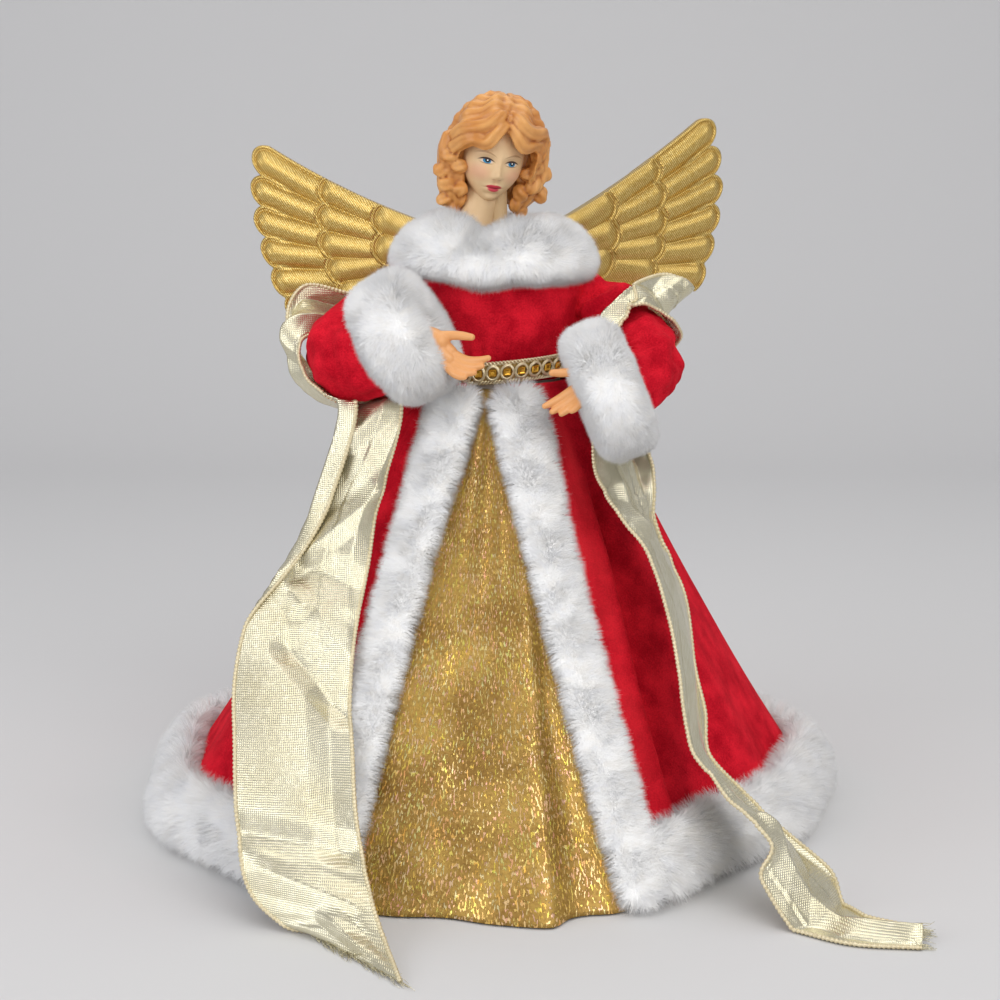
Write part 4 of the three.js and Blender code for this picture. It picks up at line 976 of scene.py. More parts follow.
def merge(parts):
    """Join several closed (points, faces) into one list of points and one of faces."""
    points, faces, start = [], [], 0
    for grid, quads in parts:
        flat = np.asarray(grid, float).reshape(-1, 3)
        points.append(flat)
        faces += [np.asarray(f) + start for f in facing_out(flat, quads)]
        start += len(flat)
    return np.concatenate(points), faces


def neck_rings(rows=40, columns=48):
    z = np.linspace(-13, -36, rows)
    path = np.stack([0.15 * (z + 13), 0.22 * (z + 13) + 2.5, z], -1)
    radius = 7.4 + 1.6 * ease(-z, 24, 36) + 0.9 * ease(z, -17, -12)
    return tube(path, radius, columns)


face_grid = face_points()
neck_grid = neck_rings()
head_points, head_faces = merge([(face_grid, capped_faces(face_grid)), (neck_grid, capped_faces(neck_grid))])
head = make_object("head_vinyl", from_head(head_points), head_faces)
keep_values(head, "face_place", "FLOAT_VECTOR", "vector", head_points)
finish_piece(head, DOLL_FACE, "head", ["head"])


# %% [markdown]
# ## Hair
# The hair is moulded in one piece with the head: waves combed from a parting in the middle, two rolled
# locks that dip over the forehead, and knobby curls that hang down to the collar. Here the crown is a dome
# with combed grooves, the rolled locks and the hanging hair are ribbed tubes, and the curls are ribbed
# knobs. A voxel remesh melts them into one cast surface with soft valleys, as the mould would.

# %% Locks
HAIR_HALF = np.array([20.6, 18.6, 23.6])
HAIR_MIDDLE = np.array([1.3, 1.6, 2.4])


def crown(rows=150, columns=240):
    down = np.linspace(0.5, 118, rows)[:, None]
    turn = np.linspace(-180, 180, columns, endpoint=False)[None]
    d, t = np.radians(down), np.radians(turn)
    way = np.stack(np.broadcast_arrays(np.sin(d) * np.sin(t), -np.sin(d) * np.cos(t), np.cos(d)), -1)
    beside = np.abs(turn)
    comb = down - 0.3 * beside + 4 * np.sin(beside / 17 + (turn > 0))
    grooves = 0.34 * np.cos(2 * np.pi * comb / 15 + 1.3 * np.sin(beside / 23))
    grooves = grooves + 0.09 * np.cos(2 * np.pi * comb / 5.2 + 2 * np.sin(beside / 13))
    waves = 0.85 * np.sin(2 * np.pi * beside / 40 + comb / 11)
    parting = -0.9 * np.exp(-(way[..., 0] * HAIR_HALF[0] / 0.8) ** 2) * (way[..., 1] < 0.3)
    relief = (grooves + waves) * ease(np.sin(d), 0.1, 0.4) + parting
    places = HAIR_MIDDLE + way * HAIR_HALF + way * relief[..., None]
    fringe = np.interp(places[..., 0], [-15, -11, -8.3, -4, 0, 4, 8.7, 11, 15],
                       [4, 6, 5.5, 9, 12, 9, 6.5, 7, 5])
    open_face = (places[..., 2] < fringe) & (np.abs(places[..., 0]) < 15.5) & (places[..., 1] < -2)
    places[..., 1] = np.where(open_face, -2.0, places[..., 1])
    return places


def ribbed(path, radius, phase, columns=18, ribs=5, twist=2.5, depth=0.12):
    turn = np.linspace(0, 2 * np.pi, columns, endpoint=False)[None]
    run = np.linspace(0, twist, len(path))[:, None]
    ripple = 1 + depth * np.cos(ribs * turn + run * 2 + phase)
    return tube(path, np.asarray(radius)[:, None] * ripple, columns)


def rolled_lock(stops, radii, phase, steps=70, twist=4.0):
    at = np.linspace(0, len(stops) - 1, steps)
    path = through(stops, at)
    path = path + 0.35 * np.stack([np.sin(at * 3 + phase), np.cos(at * 2.3 + phase), np.sin(at * 2.7)], -1)
    radius = through(np.array(radii, float)[:, None], at)[:, 0]
    closed = np.sqrt(np.clip(np.minimum(at, at[-1] - at) / 0.35, 0.02, 1))
    return ribbed(path, radius * closed, phase, twist=twist)


def knob(centre, size, phase, rows=26):
    """A short curl: an egg with twisted ribs."""
    draw = np.random.default_rng(int(phase * 100))
    axis = unit(draw.normal(size=3) * [1, 0.5, 1])
    t = np.linspace(-1, 1, rows)
    path = np.array(centre) + axis * (t * size * 1.25)[:, None]
    return ribbed(path, size * np.sqrt(np.clip(1 - t ** 2, 0.003, 1)), phase, ribs=4, twist=3.0, depth=0.16)


def hair_parts():
    parts = [crown()]
    for stops, radii in (
            ([(-0.6, -15.2, 16), (-4, -17.4, 11.5), (-8.3, -16.6, 7.4), (-12.5, -13.8, 7), (-16.5, -8.5, 4.5),
              (-18.5, -3, 0)], [2, 2.9, 3.2, 3, 3, 3]),
            ([(-1, -13.8, 20), (-6, -16.4, 15.5), (-11.5, -14.6, 12.5), (-16.5, -9, 9.5), (-19.5, -3, 5)],
             [2, 3, 3, 3, 3]),
            ([(0.6, -15.2, 16), (4, -17.2, 11.5), (8.7, -15.2, 8), (12.5, -12.2, 8), (16.5, -7.5, 8),
              (19, -2.5, 7)], [2, 2.9, 3.2, 2.9, 2.9, 3]),
            ([(1, -13.8, 20), (6, -16.2, 16), (11.5, -14, 13.5), (16.5, -8.5, 12.5), (20, -2.5, 10)],
             [2, 3, 3, 3, 3]),
            ([(-17.5, 0, 8), (-17.8, 0, -1), (-15.5, 1, -9), (-13.5, 2, -17), (-9.5, 3, -24)],
             [4.5, 5.5, 5.6, 5.4, 4]),
            ([(-15, 6, 4), (-15.5, 7, -6), (-13, 8, -15), (-9, 8, -22)], [5, 6, 6, 4.5]),
            ([(18.5, 0, 9), (18.8, 0, 1), (18.5, 1, -7), (17, 2, -14), (14, 3, -21)],
             [4.5, 5.2, 5.6, 5.4, 4]),
            ([(15, 6, 4), (16, 7, -6), (14, 8, -14), (10, 8, -20)], [5, 6, 6, 4.5]),
            ([(-7, 11, 6), (-8, 12, -5), (-6, 11, -16), (-4, 10, -22)], [6, 6.5, 6, 4.5]),
            ([(7, 11, 6), (8, 12, -5), (6, 11, -16), (4, 10, -22)], [6, 6.5, 6, 4.5])):
        parts.append(rolled_lock(stops, radii, 1.7 * len(parts)))
    for centre, size in (
            ((0, -14.6, 17), 1.9), ((0, -15.4, 14), 1.5), ((-20.4, -1, -9), 3.3), ((-18.8, -3.4, -2.8), 3.2),
            ((-17.6, -2, -14.5), 3.2), ((-16.8, 0, -21.5), 2.9), ((-12, 0, -24), 3.0),
            ((-7.8, 2.5, -25), 2.6), ((-14.2, -4.6, -6), 2.9), ((-12, -3, -15.5), 3.2),
            ((-10.5, -1, -20.5), 2.8), ((18.8, -4.6, 8.4), 3.2),
            ((18.0, -5.4, 3.8), 3.2), ((18.6, -4, -1), 3.0), ((22.6, -0.6, -5), 3.6), ((19.0, -3, -9.5), 3.5),
            ((23.6, 1, -13.4), 3.3),
            ((14.2, -2.6, -13.5), 3.2), ((13.4, -1.2, -18.6), 2.9), ((16.4, 1, -21.3), 2.9),
            ((14.6, -4.6, -5), 2.7)):
        parts.append(knob(centre, size, 0.37 * len(parts)))
    return parts


def melt(name, points, faces, voxel, smooth_steps, smooth=0.5):
    """Join overlapping closed shapes into one cast surface."""
    made = make_object(name, points, faces)
    remesh = made.modifiers.new("cast", "REMESH")
    remesh.mode = "VOXEL"
    remesh.voxel_size = voxel * MM
    remesh.use_smooth_shade = True
    soften = made.modifiers.new("soften", "SMOOTH")
    soften.iterations = smooth_steps
    soften.factor = smooth
    apply_modifiers(made)
    made.data.polygons.foreach_set("use_smooth", np.ones(len(made.data.polygons), bool))
    return made


def doll_hair():
    material, tree, shader = new_finish("doll_hair", (0.75, 0.33, 0.09), 0.34)
    place = place_of(tree)
    strands = add_node(tree, "ShaderNodeTexNoise", Vector=place, Scale=420.0, Detail=5.0)
    broad = add_node(tree, "ShaderNodeTexNoise", Vector=place, Scale=90.0, Detail=2.0)
    hollow = add_node(tree, "ShaderNodeNewGeometry").outputs["Pointiness"]
    colour = colour_mix(tree, blend_range(tree, broad.outputs["Fac"], 0.3, 0.7), (0.60, 0.245, 0.057),
                        (0.76, 0.38, 0.12))
    # Painted shade: the colour goes dark brown in the hollows between waves and curls, where the surface is
    # concave.
    colour = colour_mix(tree, blend_range(tree, hollow, 0.52, 0.44), colour, (0.36, 0.11, 0.02))
    tree.links.new(colour, shader.inputs["Base Color"])
    shader.inputs["Specular IOR Level"].default_value = 0.4
    bump(tree, shader, strands.outputs["Fac"], 0.0006, 0.3)
    return material


hair_shapes = [(from_head(part), capped_faces(part)) for part in hair_parts()]
hair = melt("hair_locks", *merge(hair_shapes), 0.5, 2)
finish_piece(hair, doll_hair(), "head", ["hair"])


# %% [markdown]
# ## Hands
# The hands are small smooth vinyl castings: a palm, a thumb that stands away, four fingers lying almost
# together. Each finger is a short row of balls joined by tapering tubes, melted into one skin like the
# hair.

# %% Hands
def bead_chain(points, radii, columns=18, rows=26):
    """A rounded limb through the points, with a rounded end."""
    at = np.linspace(0, len(points) - 1, rows)
    path = through(points, at)
    radius = through(np.array(radii, float)[:, None], at)[:, 0]
    tip_way = unit(path[-1] - path[-2])
    angle = np.linspace(0.2, np.pi / 2 - 0.05, 6)
    path = np.vstack([path, path[-1] + tip_way * (radius[-1] * np.sin(angle))[:, None]])
    radius = np.concatenate([radius, radius[-1] * np.cos(angle)])
    return tube(path, radius, columns)


def doll_hand_finish():
    material, tree, shader = new_finish("doll_hand", (0.80, 0.38, 0.13), 0.38)
    tone = add_node(tree, "ShaderNodeTexNoise", Vector=place_of(tree), Scale=160.0, Detail=2.0)
    colour = colour_mix(tree, tone.outputs["Fac"], (0.74, 0.33, 0.11), (0.82, 0.41, 0.16))
    tree.links.new(colour, shader.inputs["Base Color"])
    bump(tree, shader, tone.outputs["Fac"], 0.0003, 0.15)
    return material


DOLL_HAND = doll_hand_finish()
HAND_REACH = {"left": (0.93, -0.32, -0.10), "right": (-0.90, -0.32, -0.28)}
WRISTS = {"left": (-27.2, -58.0, 208.4), "right": (37.0, -60.5, 193.0)}
THUMBS = {"left": [(-2, -2.2, 0), (4, -0.9, 0), (9, 0.2, -0.4), (13, 0.5, -0.6), (16.8, 0.5, -0.4)],
          "right": [(-2, -0.5, 0), (4, 1.6, 0), (9, 3.0, -0.4), (13, 4.0, -0.6), (16.5, 5.2, -0.4)]}
FINGERS = {"left": ([(5, -4.4, 0), (11, -7.4, -0.2), (16, -8.7, 0), (21, -8.1, 0.4), (25, -6.6, 1.0)],
                    [(5, -5.8, 0.6), (11, -9.2, 0.6), (16, -10.8, 0.8), (20, -10.8, 1.2), (23, -10.0, 1.8)],
                    [(5, -7.2, 1.4), (10, -10.8, 1.6), (14.5, -12.8, 2.0), (18, -13.2, 2.6),
                     (20.5, -12.8, 3.2)],
                    [(5, -8.4, 2.2), (9, -12.0, 2.6), (12, -14.2, 3.0), (15, -15.0, 3.6), (17, -15.0, 4.2)]),
           "right": ([(5, -2.4, 0), (11, -4.2, -0.2), (16, -5.4, 0), (20, -6.0, 0.3), (23.5, -6.2, 0.8)],
                     [(5, -4.0, 0.8), (10, -6.2, 0.9), (15, -7.8, 1.1), (19, -8.7, 1.4), (21.5, -9.1, 1.8)],
                     [(5, -5.4, 1.8), (9, -7.6, 2.1), (13, -9.2, 2.5), (16, -10.2, 2.9), (18.5, -10.8, 3.4)],
                     [(5, -6.2, 2.8), (8, -8.2, 3.2), (11, -9.6, 3.7), (13, -10.4, 4.2), (14.5, -10.8, 4.6)])}


def hand(side):
    centre = CUFFS[side][0]
    wrist = np.array(WRISTS[side])
    reach = unit(HAND_REACH[side])
    thumb_way = unit(np.array([0, 0, 1.0]) - reach * reach[2])
    palm_way = np.cross(reach, thumb_way) * (1 if side == "left" else -1)

    def at(a, b, c):
        return wrist + a * reach + b * thumb_way + c * palm_way

    shapes = [bead_chain([centre, (centre + wrist) / 2, at(0, -2, 0), at(4, -3, 0.4)], [4, 4, 4.4, 4.2]),
              bead_chain([at(0, -5, 1), at(5, -7, 1.2), at(9, -9.2, 1.4)], [4.2, 3.6, 2.6]),
              bead_chain([at(0, -1, 0), at(5, -4, 0), at(9, -6, 0)], [3.4, 3.0, 2.2]),
              bead_chain([at(*place) for place in THUMBS[side]], [3.0, 2.4, 1.9, 1.75, 1.4])]
    for finger in FINGERS[side]:
        shapes.append(bead_chain([at(*place) for place in finger], [2.1, 1.9, 1.75, 1.6, 1.2]))
    name = side + "_hand"
    made = melt(name + "_vinyl", *merge([(shape, capped_faces(shape)) for shape in shapes]), 0.32, 3)
    finish_piece(made, DOLL_HAND, name, [name])


hand("left")
hand("right")


# %% [markdown]
# ## Wings
# Each wing is two layers of gold lamé with padding between, sewn through along the outline of every
# feather. The feathers lie in three rows, the shortest in front. The height of the front is worked out by
# laying one row after another: each feather has a sewn rim, then a swell of padding. The back shows the
# long row only.

# %% Feathers
WING_LENGTH = 102
FEATHER_ROWS = [dict(count=6, outer=1.0, radius=0.072, base=0.4, low=-14.5, high=26),
                dict(count=5, outer=0.7, radius=0.075, base=1.9, low=-13, high=29),
                dict(count=3, outer=0.44, radius=0.085, base=3.4, low=-10, high=30)]
RIM = 1.8
UPSWEEP = 14
WING_HINGE = np.array([12.8, 34.48, 235])
# The side of each wing, its roll and its sweep in degrees.
LEFT_SPREAD, RIGHT_SPREAD = (-1, -8, 10), (1, 1, 24)


def feathers(row, roll):
    share = np.linspace(0, 1, row["count"])
    rise = np.radians(mix(row["low"], row["high"], share) + roll)
    radius = row["radius"] * WING_LENGTH
    tips = row["outer"] * WING_LENGTH * mix(0.88, 1, share) - radius
    return [(angle, tip, radius) for angle, tip in zip(rise, tips)]


def feather_height(under, u, v, row, roll, pad):
    """The height with one more row of feathers laid on what is under it."""
    height = np.full_like(u, -1.0)
    for rise, tip, radius in feathers(row, roll):
        along = u * np.cos(rise) + v * np.sin(rise)
        off = v * np.cos(rise) - u * np.sin(rise)
        reach = np.where(along > tip, np.hypot(along - tip, off), np.abs(off))
        half = np.where(along > tip - 20, radius, np.minimum(radius, 2.2 + 0.085 * np.maximum(along, 0)))
        inner = np.maximum(half - RIM, 0.5)
        swelled = np.clip(1 - (reach / inner) ** 2, 0, 1) ** 0.85
        body = row["base"] + pad * swelled * mix(0.55, 1.0, ease(along / tip, 0.2, 0.9))
        cord = row["base"] + 0.9 * np.sin(np.pi * np.clip((reach - inner) / RIM, 0, 1))
        height = np.maximum(height, np.where(reach < inner, body, np.where(reach < half, cord, -1)))
    return np.where(height > 0, height, under)


def wing_grid(roll, rows=240, columns=190):
    """Places along (u) and up (v) the wing, from the root to the scalloped tips."""
    tips = feathers(FEATHER_ROWS[0], roll)
    low, high = tips[0][0], tips[-1][0]
    radius = tips[0][2]
    s = np.linspace(0, 1, columns)[None]
    spread = np.arcsin(np.clip(radius / 98, 0, 1))
    at_tip = mix(low - spread * 0.97, high + spread * 0.97, s)
    edge = np.zeros_like(at_tip)
    for rise, tip, r in tips:
        beside = at_tip - rise
        under = np.clip(r ** 2 - (tip * np.sin(beside)) ** 2, 0, None)
        edge = np.maximum(edge, np.where(under > 0, tip * np.cos(beside) + np.sqrt(under), 0))
    edge = np.maximum(edge, 0.81 * WING_LENGTH)
    t = 3 + np.linspace(0, 1, rows)[:, None] ** 0.9 * (edge - 3)
    half = np.minimum(radius, 4.5 + 0.16 * t)
    lean = np.arcsin(np.clip(half / np.maximum(t, 1e-3), 0, 0.9)) * 0.97
    angle = mix(low - lean, high + lean, s)
    return t * np.cos(angle), t * np.sin(angle)


def upswept(u, v):
    """Feathers curve upward toward their tips."""
    return v + UPSWEEP * (np.maximum(u, 0) / WING_LENGTH) ** 2.5


def on_hinge(side, sweep, along, depth, rise):
    """Places of a wing that is swept back on its hinge."""
    swept = math.radians(side * sweep)
    cosine, sine = math.cos(swept), math.sin(swept)
    x = side * along
    turned = [x * cosine - depth * sine, x * sine + depth * cosine, rise]
    return WING_HINGE * [side, 1, 1] + np.stack(turned, -1)


def gold_lame():
    material, tree, shader = new_finish("gold_lame", (0.70, 0.50, 0.15), 0.3, 0.75)
    place = place_of(tree)
    slanted = add_node(tree, "ShaderNodeVectorRotate", {"rotation_type": "Y_AXIS"}, Vector=place, Angle=0.6)
    ribs = add_node(tree, "ShaderNodeTexWave", {"wave_type": "BANDS", "bands_direction": "X"},
                    Vector=slanted.outputs["Vector"],
                    Scale=370.0, Distortion=0.6, Detail=1.0)
    grain = add_node(tree, "ShaderNodeTexNoise", Vector=place, Scale=1500.0, Detail=2.0)
    colour = colour_mix(tree, blend_range(tree, grain.outputs["Fac"], 0.35, 0.7), (0.62, 0.41, 0.10),
                        (0.95, 0.74, 0.29))
    colour = colour_mix(tree, blend_range(tree, ribs.outputs["Fac"], 0.45, 0.05), colour, (0.36, 0.21, 0.035))
    tree.links.new(colour, shader.inputs["Base Color"])
    rough = calculate(tree, "MULTIPLY_ADD", grain.outputs["Fac"], 0.12, 0.24)
    tree.links.new(rough, shader.inputs["Roughness"])
    height = calculate(tree, "MULTIPLY_ADD", grain.outputs["Fac"], 0.25, ribs.outputs["Fac"])
    bump(tree, shader, height, 0.00035, 0.45)
    return material


LAME = gold_lame()


def wing(name, side, roll, sweep):
    u, v = wing_grid(roll)
    front = np.zeros_like(u)
    for row in FEATHER_ROWS:
        front = feather_height(front, u, v, row, roll, 3.2)
    back = feather_height(np.zeros_like(u), u, v, FEATHER_ROWS[0], roll, 2.2)
    slack = wander(np.stack([u, v, 0 * u], -1), 14, 91) * 0.25
    near_root = ease(np.hypot(u, v), 8, 28)
    front = 1.0 + (front + slack) * near_root
    back = 1.0 + back * near_root

    def placed(depth):
        return on_hinge(side, sweep, 2 + u, 1.2 + depth, upswept(u, v))

    around_wing = np.concatenate([placed(-front), placed(back)[:, ::-1]], axis=1)
    rows, columns = around_wing.shape[:2]
    faces = [grid_faces(rows, columns, ring=True)]
    pair = np.arange(columns // 2 - 1)
    for row in (0, rows - 1):
        start = row * columns
        faces.append(np.stack([start + pair, start + pair + 1, start + columns - 2 - pair,
                               start + columns - 1 - pair], -1))
    made = mesh_piece(name + "_lame", around_wing, faces, LAME, name, "gold_lame", [name])


wing("left_wing", *LEFT_SPREAD)
wing("right_wing", *RIGHT_SPREAD)


# %% Wing plate
def rounded_block(low, high, rows=60, columns=120, roundness=0.28):
    low, high = np.array(low, float), np.array(high, float)
    down = np.linspace(0.02, np.pi - 0.02, rows)[:, None]
    turn = np.linspace(0, 2 * np.pi, columns, endpoint=False)[None]

    def soft(value):
        return np.sign(value) * np.abs(value) ** roundness

    ring = soft(np.sin(down))
    parts = (ring * soft(np.cos(turn)), soft(np.cos(down)), ring * soft(np.sin(turn)))
    way = np.stack(np.broadcast_arrays(*parts), -1)
    return (low + high) / 2 + way * (high - low) / 2


plate_grid = rounded_block((-11, 25, 207), (11, 36, 251.2))
seam = ease(np.abs(plate_grid[..., 1] - 30.5), 0.9, 0.0)
plate_grid = plate_grid - unit(plate_grid - plate_grid.mean(axis=(0, 1))) * seam[..., None] * 0.8
plate_grid = plate_grid + wander(plate_grid, 12, 95)[..., None] * [0, 0.25, 0]
mesh_piece("wing_plate_cover", plate_grid, capped_faces(plate_grid), LAME, "dress", "wing_board",
           ["wing_plate"])


# %% Wing roots
def wing_root(name, side, roll, sweep):
    """The padded end of a wing. It thins to a narrow roll on the hinge, so it turns close to the plate."""
    pad = rounded_block((-1.4, -2.7, -1), (27, 2.7, 1), roundness=0.5)
    along = pad[..., 0]
    rise = along * math.tan(math.radians(6 + roll)) + pad[..., 2] * mix(11, 13.5, ease(along, 0, 27))
    thin = ease(along, -1.4, 7)
    depth = 1.2 * thin + pad[..., 1] * mix(0.5, 1, thin)
    placed = on_hinge(side, sweep, along, depth, rise)
    made = mesh_piece(name + "_root", placed, capped_faces(pad), LAME, name, "gold_lame")


wing_root("left_wing", *LEFT_SPREAD)
wing_root("right_wing", *RIGHT_SPREAD)


# %% [markdown]
# ## Sash
# One strip of wired ribbon, 44 mm wide, runs from the table up over one arm, behind the back, over the
# other arm and down again. Its middle line and its half width are given at 38 places and joined by smooth
# curves. Where the ribbon is squeezed narrower than it was cut, most of the rest of its width goes into a
# pleat along it. Below the left elbow one edge is turned over as a flap. Thin wire in the edges keeps
# creases, so the surface breaks into flat facets.

# %% Run of the ribbon
RIBBON_WIDTH = 44
ELBOWS = {"left": np.array([-64.0, -32, 199]), "right": np.array([59.0, -33, 196])}


def beside_coat(share, degrees, out, wide):
    z, angle = share * 185, math.radians(degrees)
    return around(angle, coat_radius(angle, z) + out, max(z, 1.2)), wide


def near_elbow(side, offset, wide):
    return ELBOWS[side] + offset, wide


SASH = [
    beside_coat(0.007, -15.5, 38, (18, -22, 0)), beside_coat(0.03, -19, 31, (19, -11, 2)),
    beside_coat(0.09, -23.4, 30, (22, -5, 3)), beside_coat(0.2, -27.2, 34, (22, 0, 1)),
    beside_coat(0.32, -31.4, 36, (22, 1, -2)), beside_coat(0.42, -36, 37, (22, 1, -3)),
    beside_coat(0.53, -40.4, 36, (21, 1, -2)), beside_coat(0.64, -43, 32, (17, 2, 0)),
    beside_coat(0.75, -46, 31, (13, 4, 0)), near_elbow("left", (10, -13, -20), (12, 5, 0)),
    near_elbow("left", (-1, -4, -19), (6, 12, -1)), near_elbow("left", (-12, 4, -15), (0, 14, -2)),
    near_elbow("left", (-21, 11, -6), (-4, 14, 0)), near_elbow("left", (-23, 19, 7), (-5, 13, 4)),
    near_elbow("left", (-16, 33, 14), (-4, 9, 10)), near_elbow("left", (0, 47, 7), (-2, 3, 13)),
    ((-34, 35.1, 198), (0, 1, 13)), ((0, 38.1, 192), (0, 0, 12)),
    ((34, 35.1, 198), (0, 1, 13)), near_elbow("right", (-1, 50, 11), (2, 4, 15)),
    near_elbow("right", (12, 38, 12), (0, 8, 13)), near_elbow("right", (17, 28, 17), (0, 10, 10)),
    near_elbow("right", (5.5, 20.5, 23), (1.5, 12.5, 5)), near_elbow("right", (-11, 4, 16), (1, 6.5, 2.5)),
    near_elbow("right", (-15, 6, -11), (4, 12, 0)), near_elbow("right", (-9, -12, -41), (12.5, 9, 2)),
    beside_coat(0.74, 42, 28, (9, 14, -3)), beside_coat(0.64, 44, 29.5, (6, 18, -4)),
    beside_coat(0.54, 43, 30, (5, 19, 0)), beside_coat(0.43, 39.5, 30, (5, 18, -3)),
    beside_coat(0.32, 37, 28.5, (5, 17, 2)), beside_coat(0.25, 35.5, 33, (1, 17, 0)),
    beside_coat(0.2, 36, 44.5, (1, 17, 0)), beside_coat(0.165, 36.9, 51, (1, 17, 1)),
    beside_coat(0.08, 37.6, 58.5, (15, 12, -2)), beside_coat(0.012, 38, 64.5, (11, 12, 0)),
    beside_coat(0.007, 38.5, 77.5, (5, 13, 0)), beside_coat(0.007, 41.5, 98.5, (2, 9, 0)),
]
STEPS, ACROSS = 18, 49
# Places along the ribbon, and how much of its edge is turned over at each.
FLAP = ([0, 5.9, 7, 8, 9.4, 10.5, 37], [0, 0, 5, 7, 7, 0, 0])
# Each crease starts at a place along and a share across, ends at another, and has a half width and a depth.
CREASES = [
    (9.2, 0.8, 8.6, -0.3, 9, -2.4), (8.6, -0.3, 8.1, 0.9, 8, -2.0), (8.1, 0.9, 7.1, -0.6, 10, -2.2),
    (7.1, -0.6, 6.6, 0.8, 9, 2.0), (6.9, -0.9, 6.3, -0.1, 7, -1.8), (5.6, -0.1, 4.7, 0.9, 9, 2.2),
    (6.1, 0.3, 5.5, 0.95, 8, -1.6), (4.8, 0.62, 2.6, 0.62, 9, 1.8), (2.9, -0.9, 2.5, 0.8, 8, 2.4),
    (2.3, -0.7, 1.6, 0.7, 9, -2.0), (1.2, 0.2, 0.3, 0.5, 8, -1.8), (20.4, -0.8, 21.3, 0.8, 10, 2.2),
    (21.4, 0.8, 22.2, -0.6, 9, -2.2), (20.9, 0.9, 21.5, 0.1, 8, -1.8), (25.0, 0.2, 26.3, 0.55, 9, 2.6),
    (26.3, 0.55, 25.8, -0.7, 8, -1.8),
]


def later_creases(count=22):
    draw = np.random.default_rng(7)
    start = np.linspace(10.5, 35, count)
    return [(a, draw.uniform(-1, 1), a + draw.uniform(0.4, 1.4), draw.uniform(-1, 1), draw.uniform(6, 10),
             draw.choice([-1, 1]) * draw.uniform(0.9, 1.8))
            for a in start]


def fold_line(value):
    """A wave of straight facets with creases between them, from -1 to 1."""
    corner = np.abs(2 * (value - np.floor(value + 0.5)))
    return 2 * np.sqrt((corner - 0.5) ** 2 + 0.002) * np.sign(corner - 0.5)


def creased(at, run, across):
    """Tents along short straight lines: between two of them the ribbon is a flat facet."""
    height = np.zeros(np.broadcast_shapes(run.shape, across.shape))
    for a, first, b, second, half, deep in CREASES + later_creases():
        start = np.array([np.interp(a, at, run[:, 0]), first * RIBBON_WIDTH / 2])
        way = np.array([np.interp(b, at, run[:, 0]), second * RIBBON_WIDTH / 2]) - start
        share = np.clip(((run - start[0]) * way[0] + (across - start[1]) * way[1]) / (way @ way), 0, 1)
        away = np.hypot(run - start[0] - share * way[0], across - start[1] - share * way[1])
        height = height + 1.35 * deep * np.clip(1 - away / half, 0, 1)
    return height


def clear_of(points, path, radius, gap):
    """Push the points of a ribbon out of a sleeve."""
    away = points[:, :, None] - path[None, None]
    far = np.linalg.norm(away, axis=-1)
    nearest = np.argmin(far - radius, axis=-1)[..., None]
    reach = np.take_along_axis(far, nearest, -1)
    way = np.take_along_axis(away, nearest[..., None], 2)[:, :, 0] / np.maximum(reach, 1e-6)
    return points + way * np.clip(radius[nearest] + gap - reach, 0, None)


def ribbon_surface():
    at = np.linspace(0, len(SASH) - 1, (len(SASH) - 1) * STEPS + 1)
    middle = through([place for place, _ in SASH], at)
    wide = through([half for _, half in SASH], at)
    ahead = unit(np.gradient(middle, axis=0))
    out = unit(np.cross(ahead, wide))
    run = np.concatenate([[0], np.cumsum(np.linalg.norm(np.diff(middle, axis=0), axis=1))])[:, None]
    share = np.linspace(-1, 1, ACROSS)[None]
    across = share * RIBBON_WIDTH / 2
    span = 2 * np.linalg.norm(wide, axis=1)[:, None]
    flap = np.interp(at, *FLAP)[:, None]
    fold = flap - RIBBON_WIDTH / 2
    over = np.maximum(fold - across, 0)
    spread = mix(-span / 2, span / 2, (across - fold) / (RIBBON_WIDTH - flap))
    beside = np.where(over > 0, over - span / 2, spread)
    spare = np.sqrt(np.clip((RIBBON_WIDTH - flap) / span - 1, 0, 1.5))
    folds = np.interp(span / RIBBON_WIDTH, [0.2, 0.45], [2.0, 0.45])
    pleat = 0.27 * spare * span * fold_line(folds * share + 0.1 * np.sin(run / 23) + 0.62)
    calm = np.interp(at, [0, 25.5, 27.5, 32, 33, 37], [1, 1, 0.4, 0.4, 1, 1])[:, None]
    fade = ease(np.minimum(run, run[-1] - run), 0, 12)
    cup = 1.6 * (share ** 2 - 0.4)
    height = (pleat + (creased(at, run, across) + cup) * fade) * calm - 1.5 * (1 - np.exp(-over / 1.2))
    points = middle[:, None] + unit(wide)[:, None] * beside[..., None] + out[:, None] * height[..., None]
    for rows, (path, radius) in ((slice(8 * STEPS, 16 * STEPS), left_sleeve),
                                 (slice(19 * STEPS, 25 * STEPS), right_sleeve)):
        points[rows] = clear_of(points[rows], path, radius, 0.7)
    points[..., 2] = np.maximum(points[..., 2], 0.7)
    return points, surface_normals(points), run[:, 0]


ribbon, ribbon_normals, ribbon_run = ribbon_surface()


# %% Ribbon finish and pieces
def champagne_ribbon():
    material, tree, shader = new_finish("champagne_ribbon", (0.74, 0.66, 0.44), 0.25, 0.85)
    place = place_of(tree)
    weave = use_group(tree, WEAVE, Place=place, Threads=420.0, Unevenness=0.6)
    broad = add_node(tree, "ShaderNodeTexNoise", Vector=place, Scale=45.0, Detail=2.0)
    # The broad patches are partly the cloth's own uneven tone and partly painted reflection: lighter and
    # darker gold patches standing in for what the metal facets reflect.
    colour = colour_mix(tree, broad.outputs["Fac"], (0.64, 0.58, 0.38), (0.82, 0.79, 0.62))
    colour = colour_mix(tree, calculate(tree, "MULTIPLY", weave["Sparkle"], 0.3), colour, (0.95, 0.90, 0.72))
    tree.links.new(colour, shader.inputs["Base Color"])
    bump(tree, shader, weave["Height"], 0.0003, 0.35)
    return material


